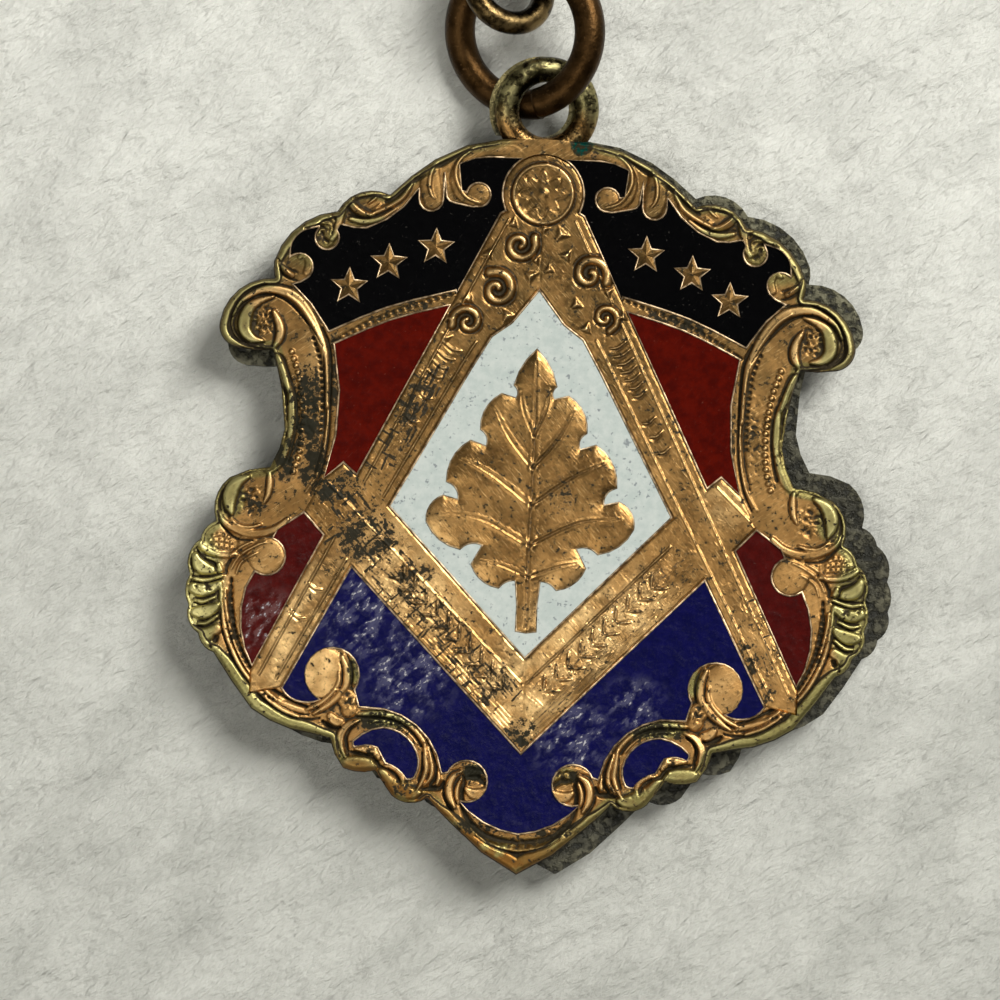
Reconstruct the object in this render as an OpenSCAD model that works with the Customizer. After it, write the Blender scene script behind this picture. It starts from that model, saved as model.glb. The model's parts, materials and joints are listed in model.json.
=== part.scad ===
// Enamelled watch fob: two struck plates back to back, a jump ring and the last link of its chain.
// +Z points out of the enamelled face, +Y up the shield to its bail. The back rests on z = 0.

/* [Shield] */
// Width of the shield over its two shells
shield_w = 25.7; // [23:0.1:28]
// Thickness of the back plate
back_t = 1.45; // [1.3:0.05:1.8]
// Thickness of the front plate up to its flat face
front_t = 0.8; // [0.7:0.05:1.1]
// Depth of the enamel cells
cell_depth = 0.5; // [0.3:0.05:0.6]
// Turn by which the back plate has slipped round its pin, in degrees
slip = 3.3; // [0:0.1:4]

/* [Relief] */
// Width of the rolled rim round the shield
rim_w = 0.42; // [0.3:0.02:0.6]
// Height of the straps' rails and of the cell walls over the flat face
low_relief = 0.15; // [0.08:0.01:0.25]
// Height of the scrolls and the rim over the flat face
high_relief = 0.32; // [0.2:0.01:0.45]
// Width of the thin wall round each cell
wall_w = 0.12; // [0.08:0.01:0.2]

/* [Bail] */
// Radius of the middle of the bail's ring
bail_r = 1.52; // [1.45:0.01:1.6]
// Width of the bail's ring
bail_w = 0.96; // [0.8:0.02:1]
// Thickness of both halves of the bail together
bail_t = 0.8; // [0.6:0.02:0.85]
// How far the bail is bent up, in degrees
bail_bend = 8; // [6:0.5:10]
// How far the bail is twisted, left side up, in degrees
bail_twist = 10; // [8:0.5:12]

/* [Rings] */
// Diameter of the jump ring's wire
ring_wire = 1.15; // [1:0.01:1.2]
// Radius of the middle of the jump ring's wire
ring_r = 2.72; // [2.6:0.01:2.8]
// Distance along the ring's axis by which its cut ends miss each other
ring_spring = 1.3; // [1:0.05:1.4]
// Diameter of the chain link's wire
link_wire = 0.88; // [0.7:0.01:1]
// Width of the link over its wire
link_w = 3.8; // [3.6:0.1:4.2]
// Length of the link over its wire
link_l = 6.4; // [6:0.1:7]

/* [Hidden] */
k = shield_w / 25.7;        // the tables below are drawn for a shield 25.7 mm wide
gap = 0.03;                 // clearance between pieces that touch on the real fob
seal = 0.002;
edge_clear = 0.02;          // step back of raised work from the edge that it follows
room = 40;                  // size of the blocks that cut the bail, past the whole bail
front_z = back_t + gap;
face_z = front_z + front_t;
floor_z = face_z - cell_depth;
seam_z = back_t + gap / 2;

head_y = 11.5;              // middle of the head, where both long straps meet
head_r = 1.5;
disc_r = 1.2;
pin_y = head_y * k;         // the pin sits under the head, and the back plate has turned round it
pin_r = 0.55;
pin_in = 0.6;               // how far the pin reaches into each plate
groove_in = 1.0;            // border line cut into the back
groove_w = 0.3;
groove_depth = 0.12;

bail_y = 14.72 * k;
bail_foot = bail_y - bail_r - bail_w / 2;
neck_y = 13.65 * k;
ring_at = [-0.93, bail_y + 2.83, 1.9];
ring_lean = [6, -20, 0];    // top up, then right side up
split_angle = -78;          // where the jump ring's cut lies, seen from the front
split_half = 3.5;
link_at = [-1.7, ring_at[1] + 2.9, 1.69];
link_lean = [-22, 25, -6]; // far end down, left strand up over the jump ring
link_bow = (link_w - link_wire) / 2;
loop_steps = 48;
wire_sides = 12;
turn_step = 15;             // largest turn between two points of an arc, in degrees
curve_steps = 3;            // points of a ridge from one row to the next

rail_from = 0.16;           // the straps' rails, in from the strap's edge
rail_to = 0.42;
star_waist = 0.42;

// Half outlines, from the top down the side: out from the middle, up, and rise, the height of the
// arc to the next row over its chord, to the left of the way. The left half is their mirror image.
outline_rows = [
    [0, 13.55, 0], [1.65, 13.5, 0.16], [4.1, 12.65, 0.06], [5.75, 11.25, 0.42],
    [7.7, 10.55, 0.47], [10.0, 8.6, 0.04], [9.95, 7.95, 0.5], [11.95, 6.25, 0.24],
    [11.3, 5.3, 0.05], [9.9, 5.25, -0.1], [9.36, 2.3, -0.08], [9.85, 0.85, 0.1],
    [11.35, 0.4, 0.27], [11.8, -1.25, 0.12], [12.35, -1.95, 0.25], [12.7, -3.3, 0.15],
    [12.7, -4.45, 0.2], [12.3, -5.5, 0.14], [11.7, -6.2, 0.04], [10.2, -8.25, 0.17],
    [7.9, -9.1, 0], [7.2, -9.25, 0.08], [6.65, -10.35, 0.1], [5.45, -10.4, 0],
    [4.8, -11.3, 0.24], [3.45, -11.35, 0.02], [2.5, -12.3, 0.15], [0, -14.1, 0]];

// Inner edge of the border, round all the enamel
field_rows = [
    [0, 12.85, 0], [2.1, 12.85, 0.14], [3.55, 12.3, 0], [4.75, 11.5, -0.22],
    [6.6, 10.0, -0.05], [7.5, 10.1, 0.06], [8.9, 9.85, 0.18], [9.45, 8.9, 0.08],
    [9.3, 7.7, -0.1], [8.0, 6.2, -0.03], [7.65, 5.5, -0.36], [7.85, 0.5, 0],
    [8.5, -0.75, 0], [9.5, -1.45, 0], [10.3, -2.95, 0.52], [10.2, -6.75, 0],
    [9.1, -7.45, 0.12], [8.3, -7.95, 0.1], [7.4, -7.7, 0], [6.2, -8.1, 0],
    [5.2, -8.1, -0.5], [3.0, -10.35, 0], [2.4, -11.3, 0.28], [0, -12.6, 0]];

// The two straps' sides: the long pair that meets in the head, and the pair that meets below
long_strap = [
    [0, 11.5], [1.55, 10.7], [10.3, -6.85], [10.3, -7.7], [9.1, -7.4],
    [6.65, -2.7], [5.35, -0.45], [2.5, 4.8], [1.75, 6.1], [1.0, 6.65], [0, 7.95]];
short_strap = [
    [0, -6.0], [5.35, -0.45], [7.1, 1.1], [7.9, 0.4], [8.5, -0.75], [6.65, -2.7], [0, -9.5]];

// Arched band between the black and the red enamel
band = [[3.1, 7.52], [7.95, 5.7]];
band_rise = 0.2;
band_w = 0.42;

// Scrollwork on the border: out, up and width along each ridge
scrolls = [
    [[1.25, 13.1, 0.25], [2.2, 13.05, 0.4], [3.2, 12.6, 0.42], [3.45, 11.8, 0.4], [3.1, 11.1, 0.36],
        [2.6, 11.05, 0.5]],
    [[3.9, 12.5, 0.25], [4.25, 11.9, 0.42], [4.2, 11.3, 0.5], [4.15, 11.05, 0.4]],
    [[4.5, 12.0, 0.2], [5.3, 10.95, 0.4], [6.3, 10.35, 0.5], [7.3, 10.5, 0.3], [7.5, 10.75, 0.12]],
    [[7.9, 10.35, 0.2], [8.8, 10.2, 0.36], [9.6, 9.5, 0.36], [9.85, 8.6, 0.28], [9.6, 7.9, 0.2]],
    [[9.25, 7.7, 0.3], [10.4, 7.4, 0.42], [11.3, 6.9, 0.42], [11.5, 6.1, 0.4], [11.0, 5.65, 0.28]],
    [[8.7, 2.6, 0.3], [8.75, 4.1, 0.44], [9.3, 5.6, 0.5], [9.9, 6.5, 0.5], [10.4, 6.5, 0.36],
        [10.6, 6.1, 0.2]],
    [[8.72, 3.0, 0.4], [8.75, 2.0, 0.42], [9.0, 1.0, 0.36], [9.5, 0.2, 0.25]],
    [[8.25, 5.9, 0.15], [7.95, 4.6, 0.2], [7.8, 3.0, 0.2], [8.0, 1.3, 0.2], [8.4, 0.1, 0.15]],
    [[9.5, 0.0, 0.2], [10.3, 0.25, 0.4], [11.1, 0.0, 0.4], [11.4, -0.75, 0.36], [10.9, -1.35, 0.3],
        [10.0, -1.4, 0.24], [9.2, -0.9, 0.15]],
    [[9.5, -2.6, 0.4], [9.9, -2.2, 0.5], [10.6, -2.4, 0.5], [11.1, -3.1, 0.45], [11.35, -4.2, 0.42],
        [11.2, -5.5, 0.4], [10.6, -6.9, 0.36], [9.6, -8.0, 0.34], [8.4, -8.4, 0.34],
        [7.2, -8.0, 0.4], [6.6, -7.3, 0.5], [6.75, -6.5, 0.3]],
    [[6.9, -9.0, 0.3], [6.0, -8.4, 0.45], [4.9, -8.45, 0.5], [3.9, -9.1, 0.55], [3.35, -10.0, 0.6],
        [3.3, -10.8, 0.4]],
    [[3.1, -11.2, 0.3], [2.7, -10.4, 0.4], [2.0, -10.2, 0.45], [1.6, -10.7, 0.36], [1.9, -11.0, 0.2]],
    [[3.4, -11.0, 0.3], [2.4, -11.9, 0.42], [1.3, -12.8, 0.45], [0.2, -13.4, 0.4]]];

// Discs in which the scrolls end: out, up and radius. They stand in the enamel.
volutes = [
    [2.42, 11.38, 0.42], [8.05, 9.55, 0.42], [9.05, 8.4, 0.48], [9.85, -2.5, 0.68],
    [7.2, -6.85, 0.98], [2.0, -10.65, 0.75]];

// Stalks that carry those discs: from out and up, to out and up, and width
stalks = [
    [3.5, 12.6, 3.35, 11.35, 0.5], [3.35, 11.3, 2.6, 11.15, 0.42], [4.2, 12.2, 4.2, 11.15, 0.85],
    [8.05, 9.9, 7.8, 10.4, 0.6], [9.1, 8.2, 10.2, 7.9, 0.7], [10.0, -2.3, 11.0, -2.6, 1.0],
    [7.0, -7.2, 6.6, -8.6, 1.1], [2.4, -10.8, 3.4, -11.1, 1.0]];

// Small cell inside the lower scroll
scroll_cell_rows = [
    [5.2, -8.72, 0.12], [6.35, -9.3, 0.04], [6.25, -9.62, -0.1], [5.42, -9.55, 0],
    [5.1, -10.12, -0.1], [4.3, -10.68, 0.04], [3.95, -10.62, 0.06], [3.8, -9.9, 0.32]];

// Flutes of the side shells: middle out and up, length, width and direction
flutes = [
    [12.0, -2.55, 1.05, 0.36, 20], [12.05, -3.75, 0.95, 0.36, 2],
    [12.0, -4.75, 0.8, 0.34, -16], [11.65, -5.65, 0.75, 0.32, -32]];

// Curls chased down the long straps: across, up and radius
strap_curls = [
    [-0.8, 9.55, 0.6], [-1.6, 7.85, 0.62], [-2.55, 6.6, 0.5], [1.6, 8.5, 0.52], [2.35, 6.95, 0.5]];
curl_w = 0.17;

// Half of the upright leaf in the white field, from its tip down
leaf_rows = [
    [0, 5.6, 0.12], [0.75, 4.3, -0.12], [0.7, 3.75, 0], [1.25, 3.9, 0.22],
    [1.95, 2.6, -0.16], [1.75, 1.9, 0], [2.35, 2.1, 0.24], [3.15, 0.6, -0.18],
    [2.7, -0.15, 0], [3.3, 0.0, 0.2], [3.85, -0.95, 0.2], [2.6, -1.9, -0.16],
    [1.7, -1.75, 0], [2.1, -2.5, 0.18], [1.1, -3.3, -0.1], [0.42, -3.0, -0.05],
    [0.34, -4.9, 0], [0, -4.95, 0]];

// Raised stars on the black ground: out, up and radius
stars = [[3.95, 9.35, 0.62], [5.7, 8.7, 0.62], [7.15, 7.75, 0.62]];

// Right half of the region that holds each enamel. Its sides run inside the metal.
black_region = [
    [0.2, 13.5], [0.9, 11.5], [1.0, 10.4], [2.9, 7.3], [3.1, 7.52], [5.6, 6.9], [8.0, 5.7],
    [10, 7.2], [10.2, 9], [7.6, 11], [5.2, 12.4], [3, 13.4]];
red_upper_region = [
    [2.9, 7.3], [3.1, 7.52], [5.6, 6.9], [8.0, 5.7], [8.6, 3], [8.4, 0], [7.2, 0.2], [6.2, 0.2]];
red_lower_region = [
    [6.9, -1.3], [7.8, -0.4], [8.6, -0.3], [9.9, -1.2], [11.2, -3], [11.4, -6], [10.4, -7.2],
    [9.8, -7.2]];
blue_region = [
    [0, -8], [5.6, -2.2], [6.9, -2.0], [9.7, -7.2], [9.2, -8.5], [6, -9], [3.5, -11.5], [0, -13.2]];
white_region = [[0, 8.6], [1.6, 6.9], [3.3, 4.8], [6.0, -0.4], [5.6, -2.2], [0, -7.5]];

// Points of the arc from p to q whose middle stands rise off the chord, without q
function arc_points(p, q, rise) =
    abs(rise) < 0.001 ? [p] :
    let (span = norm(q - p), along = (q - p) / span, side = [-along[1], along[0]] * sign(rise),
        half = 2 * atan(2 * abs(rise) / span), r = span / 2 / sin(half),
        n = max(2, ceil(2 * half / turn_step)))
    [for (i = [0 : n - 1]) let (a = half * (2 * i / n - 1))
        (p + q) / 2 + along * r * sin(a) + side * r * (cos(a) - cos(half))];

// Points of a path of arcs, up to its last row
function arc_path(rows) = [for (i = [0 : len(rows) - 2])
    each arc_points([rows[i][0], rows[i][1]], [rows[i + 1][0], rows[i + 1][1]], rows[i][2])];

// Closed outline from a half that starts and ends on the middle line
function both_halves(rows) =
    let (half = concat(arc_path(rows), [[0, rows[len(rows) - 1][1]]]))
    concat(half, [for (i = [len(half) - 2 : -1 : 1]) [-half[i][0], half[i][1]]]);

// Point on the smooth curve through the rows, at t from row i to the next
function curve_at(rows, i, t) =
    let (n = len(rows) - 1, a = rows[max(0, i - 1)], b = rows[i], c = rows[i + 1], d = rows[min(n, i + 2)])
    b + (c - a) * t / 2 + (2 * a - 5 * b + 4 * c - d) * t * t / 2
        + (3 * b - a - 3 * c + d) * t * t * t / 2;
function curve(rows) = concat(
    [for (i = [0 : len(rows) - 2], s = [0 : curve_steps - 1]) curve_at(rows, i, s / curve_steps)],
    [rows[len(rows) - 1]]);

// Both sides of a ridge of changing width
function ridge_side(path, way) = [for (i = [0 : len(path) - 1])
    let (a = path[max(0, i - 1)], b = path[min(len(path) - 1, i + 1)], d = [b[0] - a[0], b[1] - a[1]])
    [path[i][0], path[i][1]] + way * path[i][2] / 2 * [-d[1], d[0]] / norm(d)];
function ridge_outline(rows) =
    let (path = curve(rows), left = ridge_side(path, 1), right = ridge_side(path, -1))
    concat(left, [for (i = [len(right) - 1 : -1 : 0]) right[i]]);

module halves() {
    children();
    mirror([1, 0]) children();
}
module dot(at, r, sides = 20) translate([at[0], at[1]]) circle(r, $fn = sides);
module ridge(rows) {
    polygon(ridge_outline(rows));
    for (end = [rows[0], rows[len(rows) - 1]]) dot(end, end[2] / 2, 14);
}
module stalk(row) ridge([[row[0], row[1], row[4]], [row[2], row[3], row[4]]]);
module star(row, inset = 0) translate([row[0], row[1]]) polygon([for (i = [0 : 9])
    (row[2] - inset) * (i % 2 == 0 ? 1 : star_waist) * [sin(36 * i), cos(36 * i)]]);
module flute(row) translate([row[0], row[1]]) rotate(row[4]) scale([row[2], row[3]])
    circle(0.5, $fn = 16);

// Flat shapes of the front, in the plane of its face and at the tables' size
module outline_2d() polygon(both_halves(outline_rows));
module band_2d() halves() polygon(ridge_outline(
    [for (p = concat(arc_points(band[0], band[1], band_rise), [band[1]])) [p[0], p[1], band_w]]));
module straps_2d() {
    translate([0, head_y]) circle(head_r, $fn = 48);
    halves() {
        polygon(long_strap);
        polygon(short_strap);
    }
}
module leaf_2d() polygon(both_halves(leaf_rows));
module cells_2d() difference() {
    polygon(both_halves(field_rows));
    straps_2d();
    band_2d();
    leaf_2d();
    halves() {
        for (row = volutes) dot(row, row[2]);
        for (row = stalks) stalk(row);
        for (row = stars) star(row);
    }
}
module scroll_cell_2d() polygon(arc_path(concat(scroll_cell_rows, [scroll_cell_rows[0]])));
module all_cells_2d() {
    cells_2d();
    halves() scroll_cell_2d();
}
module edge_2d(outer, inner) difference() {
    offset(delta = outer) children();
    offset(delta = inner) children();
}
module low_shapes_2d() {
    edge_2d(wall_w, 0) all_cells_2d();
    edge_2d(-rail_from, -rail_to) straps_2d();
    offset(delta = -wall_w) leaf_2d();
    for (row = strap_curls) difference() {
        dot(row, row[2]);
        dot(row, row[2] - curl_w);
    }
    halves() {
        for (row = stars) star(row);
        for (row = flutes) flute(row);
    }
}
module high_shapes_2d() {
    edge_2d(0, -rim_w) outline_2d();
    halves() {
        for (rows = scrolls) ridge(rows);
        for (row = volutes) dot(row, row[2]);
    }
    translate([0, head_y]) circle(disc_r, $fn = 36);
}
// Relief stands back from the outline and the cells, and each step from the one below it
module low_relief_2d() difference() {
    intersection() {
        offset(delta = -edge_clear) outline_2d();
        union() {
            low_shapes_2d();
            high_shapes_2d();
        }
    }
    offset(delta = edge_clear) all_cells_2d();
}
module high_relief_2d() difference() {
    intersection() {
        offset(delta = -2 * edge_clear) outline_2d();
        offset(delta = -edge_clear) high_shapes_2d();
    }
    offset(delta = 2 * edge_clear) all_cells_2d();
}

// Prism between two heights. The seal closes hairlines between flat shapes that share an edge.
module layer(z0, z1) translate([0, 0, z0]) linear_extrude(z1 - z0) offset(delta = seal) scale(k)
    children();

// Enamel in its cell, level with the face. A region picks one enamel out of the cells.
module enamel_fill() translate([0, 0, floor_z + gap])
    linear_extrude(cell_depth - gap) offset(delta = -gap) scale(k) children();
module enamel(region) enamel_fill() intersection() {
    cells_2d();
    polygon(region);
}
module enamel_both(region) enamel_fill() intersection() {
    cells_2d();
    halves() polygon(region);
}
module left_side() mirror([1, 0, 0]) children();

// Half of the bail's ring, bent up and twisted, and cut level where it joins its plate
module bail_half(side, shift) intersection() {
    translate([0, bail_foot, seam_z]) rotate([bail_bend, 0, 0])
        translate([shift, bail_y - bail_foot, 0]) rotate([0, bail_twist, 0])
            rotate_extrude($fn = 96) polygon([for (a = [0 : 15 : 180])
                [bail_r + bail_w / 2 * cos(a), side * (gap / 2 + (bail_t - gap) / 2 * sin(a))]]);
    union() {
        translate([-room / 2, neck_y, -room / 2]) cube(room);
        translate([-room / 2, neck_y - room + seal, side > 0 ? front_z : back_t - room]) cube(room);
    }
}

module front_plate() color("peru") difference() {
    union() {
        layer(front_z, floor_z) outline_2d();
        layer(floor_z - seal, face_z) difference() {
            outline_2d();
            all_cells_2d();
        }
        layer(face_z - low_relief, face_z + low_relief) low_relief_2d();
        layer(face_z, face_z + high_relief) high_relief_2d();
        bail_half(1, 0);
    }
    translate([0, pin_y, front_z - pin_in]) cylinder(r = pin_r + gap, h = 2 * pin_in, $fn = 48);
}

module back_plate() color("dimgray") difference() {
    union() {
        translate([0, pin_y, 0]) rotate(slip) translate([0, -pin_y, 0]) difference() {
            layer(0, back_t) outline_2d();
            layer(-groove_depth, groove_depth) edge_2d(-groove_in, -groove_in - groove_w) outline_2d();
        }
        bail_half(-1, (pin_y - bail_y) * sin(slip));
    }
    translate([0, pin_y, back_t - pin_in]) cylinder(r = pin_r + gap, h = 2 * pin_in, $fn = 48);
}

module joining_pin() color("tan") translate([0, pin_y, back_t - pin_in + gap])
    cylinder(r = pin_r, h = 2 * pin_in - gap, $fn = 48);

module enamel_black_right() color([0.03, 0.03, 0.04]) enamel(black_region);
module enamel_black_left() left_side() enamel_black_right();
module enamel_red_upper_right() color([0.4, 0.05, 0.03]) enamel(red_upper_region);
module enamel_red_upper_left() left_side() enamel_red_upper_right();
module enamel_red_lower_right() color([0.36, 0.05, 0.05]) enamel(red_lower_region);
module enamel_red_lower_left() left_side() enamel_red_lower_right();
module enamel_blue_main() color([0.1, 0.08, 0.35]) enamel_both(blue_region);
module enamel_blue_scroll_right() color([0.1, 0.08, 0.35]) enamel_fill() scroll_cell_2d();
module enamel_blue_scroll_left() left_side() enamel_blue_scroll_right();
module enamel_white() color([0.82, 0.86, 0.87]) enamel_both(white_region);

// Points round a wire's section at a point of its path: out is the way across the path in its plane
function section(at, out, r) = [for (i = [0 : wire_sides - 1]) let (a = 360 * i / wire_sides)
    at + r * (cos(a) * out + [0, 0, sin(a)])];
// Skin over sections that follow each other, joined end to end or capped
module skin(sections, joined) {
    n = len(sections);
    m = wire_sides;
    polyhedron([for (s = sections) each s], concat(
        [for (i = [0 : n - (joined ? 1 : 2)], j = [0 : m - 1])
            [i * m + j, i * m + (j + 1) % m, (i + 1) % n * m + (j + 1) % m, (i + 1) % n * m + j]],
        joined ? [] : [[for (j = [m - 1 : -1 : 0]) j], [for (j = [0 : m - 1]) (n - 1) * m + j]]));
}

// Jump ring whose cut ends have sprung apart along its axis, the right one over the left one
module jump_ring() color("saddlebrown") translate(ring_at) rotate(ring_lean)
    skin([for (i = [0 : loop_steps]) let (t = i / loop_steps, a = split_angle + split_half
        + (360 - 2 * split_half) * t, out = [cos(a), sin(a), 0])
        section(ring_r * out + [0, 0, ring_spring * (0.5 - t)], out, ring_wire / 2)], false);

// Oval link with round ends, through the jump ring's top
module chain_link() color("goldenrod") translate(link_at) rotate(link_lean)
    skin([for (end = [1, -1], i = [0 : loop_steps / 4]) let (a = 720 * i / loop_steps + (end > 0 ? 0 : 180),
        out = [cos(a), sin(a), 0])
        section(link_bow * out + [0, end * (link_l - link_w) / 2, 0], out, link_wire / 2)], true);

front_plate();
back_plate();
joining_pin();
enamel_black_left();
enamel_black_right();
enamel_red_upper_left();
enamel_red_upper_right();
enamel_red_lower_left();
enamel_red_lower_right();
enamel_blue_main();
enamel_blue_scroll_left();
enamel_blue_scroll_right();
enamel_white();
jump_ring();
chain_link();
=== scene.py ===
import json
import math

import bmesh
import bpy
import numpy as np
from mathutils import Matrix, Vector

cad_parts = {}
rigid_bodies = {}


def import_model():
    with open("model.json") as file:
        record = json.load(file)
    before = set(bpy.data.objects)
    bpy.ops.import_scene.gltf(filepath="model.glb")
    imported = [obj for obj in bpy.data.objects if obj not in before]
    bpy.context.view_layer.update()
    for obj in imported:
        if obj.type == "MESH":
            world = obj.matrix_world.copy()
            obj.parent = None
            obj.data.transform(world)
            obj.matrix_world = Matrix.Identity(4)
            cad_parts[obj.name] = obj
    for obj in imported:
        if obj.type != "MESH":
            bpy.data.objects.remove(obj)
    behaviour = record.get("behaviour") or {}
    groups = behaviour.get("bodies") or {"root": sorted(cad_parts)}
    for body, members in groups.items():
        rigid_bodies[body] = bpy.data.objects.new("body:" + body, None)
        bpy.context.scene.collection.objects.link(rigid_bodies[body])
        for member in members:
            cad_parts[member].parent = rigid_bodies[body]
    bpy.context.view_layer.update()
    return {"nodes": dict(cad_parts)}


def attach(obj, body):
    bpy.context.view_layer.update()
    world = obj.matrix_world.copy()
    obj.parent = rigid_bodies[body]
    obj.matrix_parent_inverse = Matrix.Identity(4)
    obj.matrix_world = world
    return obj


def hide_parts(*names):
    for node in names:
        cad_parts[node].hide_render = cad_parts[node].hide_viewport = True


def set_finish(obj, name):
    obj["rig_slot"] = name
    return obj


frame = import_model()

# The back plate is struck brass, cut to the front plate's outline. It has slipped round its pin, so its
# dark, oxidised edge shows along the right side. Its half of the bail is worn to brass.
mm = 0.001
back_node = frame["nodes"]["back_plate"]
back_edge = 0.12 * mm
oxide_dark = (0.03, 0.029, 0.02, 1)
oxide_pale = (0.1, 0.094, 0.06, 1)
oxide_rubbed = (0.15, 0.142, 0.088, 1)
pit_black = (0.02, 0.02, 0.015, 1)
bail_brass = (0.26, 0.22, 0.1, 1)
bail_dull = (0.12, 0.105, 0.05, 1)
neck_up = 13.9 * mm         # where the bail begins


def new_finish(name):
    """A material, its node tree, its shader and the piece's own coordinates."""
    material = bpy.data.materials.new(name)
    material.use_nodes = True
    tree = material.node_tree
    place = tree.nodes.new("ShaderNodeTexCoord").outputs["Object"]
    return material, tree, tree.nodes["Principled BSDF"], place


def fill(tree, node, sockets):
    """Sockets of a node, by number or name, each joined to another socket or set to a value."""
    for key, value in sockets:
        if isinstance(value, bpy.types.NodeSocket):
            tree.links.new(value, node.inputs[key])
        elif value is not None:
            node.inputs[key].default_value = value


def add_node(tree, kind, settings, *values, **named):
    """A shader node with its settings and its sockets filled in order or by name."""
    made = tree.nodes.new("ShaderNode" + kind)
    for key, value in settings.items():
        setattr(made, key, value)
    fill(tree, made, enumerate(values))
    fill(tree, made, named.items())
    return made


def finished(tree, shader, colour, metallic, roughness):
    """The shader's colour, share of metal and roughness, each a value or a socket."""
    fill(tree, shader, (("Base Color", colour), ("Metallic", metallic), ("Roughness", roughness)))


def grain(tree, place, size, detail=3.0, stretch=None):
    """Noise from 0 to 1 with blotches of about this size in metres, drawn out along a direction."""
    if stretch:
        turn, length = stretch
        drawn_out = {"Rotation": (0, 0, turn), "Scale": (length, 1, 1)}
        place = add_node(tree, "Mapping", {"vector_type": "TEXTURE"}, place, **drawn_out).outputs[0]
    return add_node(tree, "TexNoise", {}, place, Scale=1 / size, Detail=detail, Roughness=0.6).outputs["Fac"]


def graded(tree, value, low, high, start=0.0, end=1.0):
    """A smooth step from start to end as the value goes from low to high."""
    step = add_node(tree, "MapRange", {"interpolation_type": "SMOOTHSTEP"}, value, low, high, start, end)
    return step.outputs[0]


def combined(tree, a, b, operation="MULTIPLY"):
    """One value times another, or their sum or the greater one."""
    return add_node(tree, "Math", {"operation": operation, "use_clamp": operation == "ADD"}, a, b).outputs[0]


def blended(tree, share, first, second):
    """One colour over another by a share from 0 to 1."""
    made = add_node(tree, "Mix", {"data_type": "RGBA"})
    factor, colour_a, colour_b, colour_out = 0, 6, 7, 2
    fill(tree, made, ((factor, share), (colour_a, first), (colour_b, second)))
    return made.outputs[colour_out]


def bumped(tree, shader, height, depth):
    """Bump of a depth in metres, on top of any bump that the shader already has."""
    before = shader.inputs["Normal"].links[0].from_socket if shader.inputs["Normal"].links else None
    bump = add_node(tree, "Bump", {}, Strength=1.0, Distance=depth, Height=height, Normal=before)
    tree.links.new(bump.outputs[0], shader.inputs["Normal"])


def recoat(node, finish):
    """A new material on one of the part's own solids."""
    node.data.materials.clear()
    node.data.materials.append(finish)


def weld_seams(node):
    """The faces of one of the part's own solids joined along their edges, so that they shade as one skin."""
    weld = node.modifiers.new("weld", "WELD")
    weld.merge_threshold = 0.001 * mm


oxidised, tree, shader, place = new_finish("oxidised_brass")
mottle = grain(tree, place, 0.9 * mm, 6)
pits = graded(tree, grain(tree, place, 0.3 * mm, 5), 0.36, 0.56)
height_up = add_node(tree, "SeparateXYZ", {}, place).outputs["Y"]
worn = graded(tree, height_up, neck_up - 0.3 * mm, neck_up + 0.3 * mm)
dark_skin = blended(tree, graded(tree, mottle, 0.35, 0.7), oxide_dark, oxide_pale)
rubbed = combined(tree, graded(tree, height_up, 2 * mm, 8 * mm), graded(tree, mottle, 0.3, 0.6, 0.3, 0.9))
dark_skin = blended(tree, rubbed, dark_skin, oxide_rubbed)
dark_skin = blended(tree, pits, pit_black, dark_skin)
bright_skin = blended(tree, graded(tree, mottle, 0.42, 0.6), bail_brass, bail_dull)
finished(tree, shader, blended(tree, worn, dark_skin, bright_skin), graded(tree, worn, 0, 1, 0.55, 1.0),
         graded(tree, mottle, 0.3, 0.7, 0.3, 0.55))
bumped(tree, shader, pits, 0.05 * mm)
bumped(tree, shader, mottle, 0.1 * mm)

recoat(back_node, oxidised)
weld_seams(back_node)
soften = back_node.modifiers.new("edges", "BEVEL")
soften.width = back_edge
soften.segments = 3
soften.limit_method = "ANGLE"
soften.angle_limit = math.radians(50)

# The joining pin is one short brass peg. It is pressed into blind holes in both plates under the head and
# holds them together. It never shows.
pin_dull = (0.5, 0.36, 0.18, 1)
pin_bright = (0.72, 0.55, 0.3, 1)
pin_brass, tree, shader, place = new_finish("pin_brass")
drawn = grain(tree, place, 0.2 * mm, 3, (0, 6))
finished(tree, shader, blended(tree, drawn, pin_dull, pin_bright), 1.0, 0.35)
recoat(frame["nodes"]["joining_pin"], pin_brass)

# The front plate is struck in one blow and then chased by hand: a rolled rim, scrolls, shells and volutes
# round the cells. Its rose-gold plating is worn to brass on the rim and dark in every hollow.
face = 2.28                 # heights and places on the plate are in millimetres from here on
front_back = 1.48           # the plate's underside
cell_floor = 1.8
ground = face - 0.02        # the border's level ground, from which its relief stands up
pitch = 0.03                # between the height samples
mesh_pitch = 0.04           # between the mesh's points
pin_up = 11.5
slip = math.radians(3.3)

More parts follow.
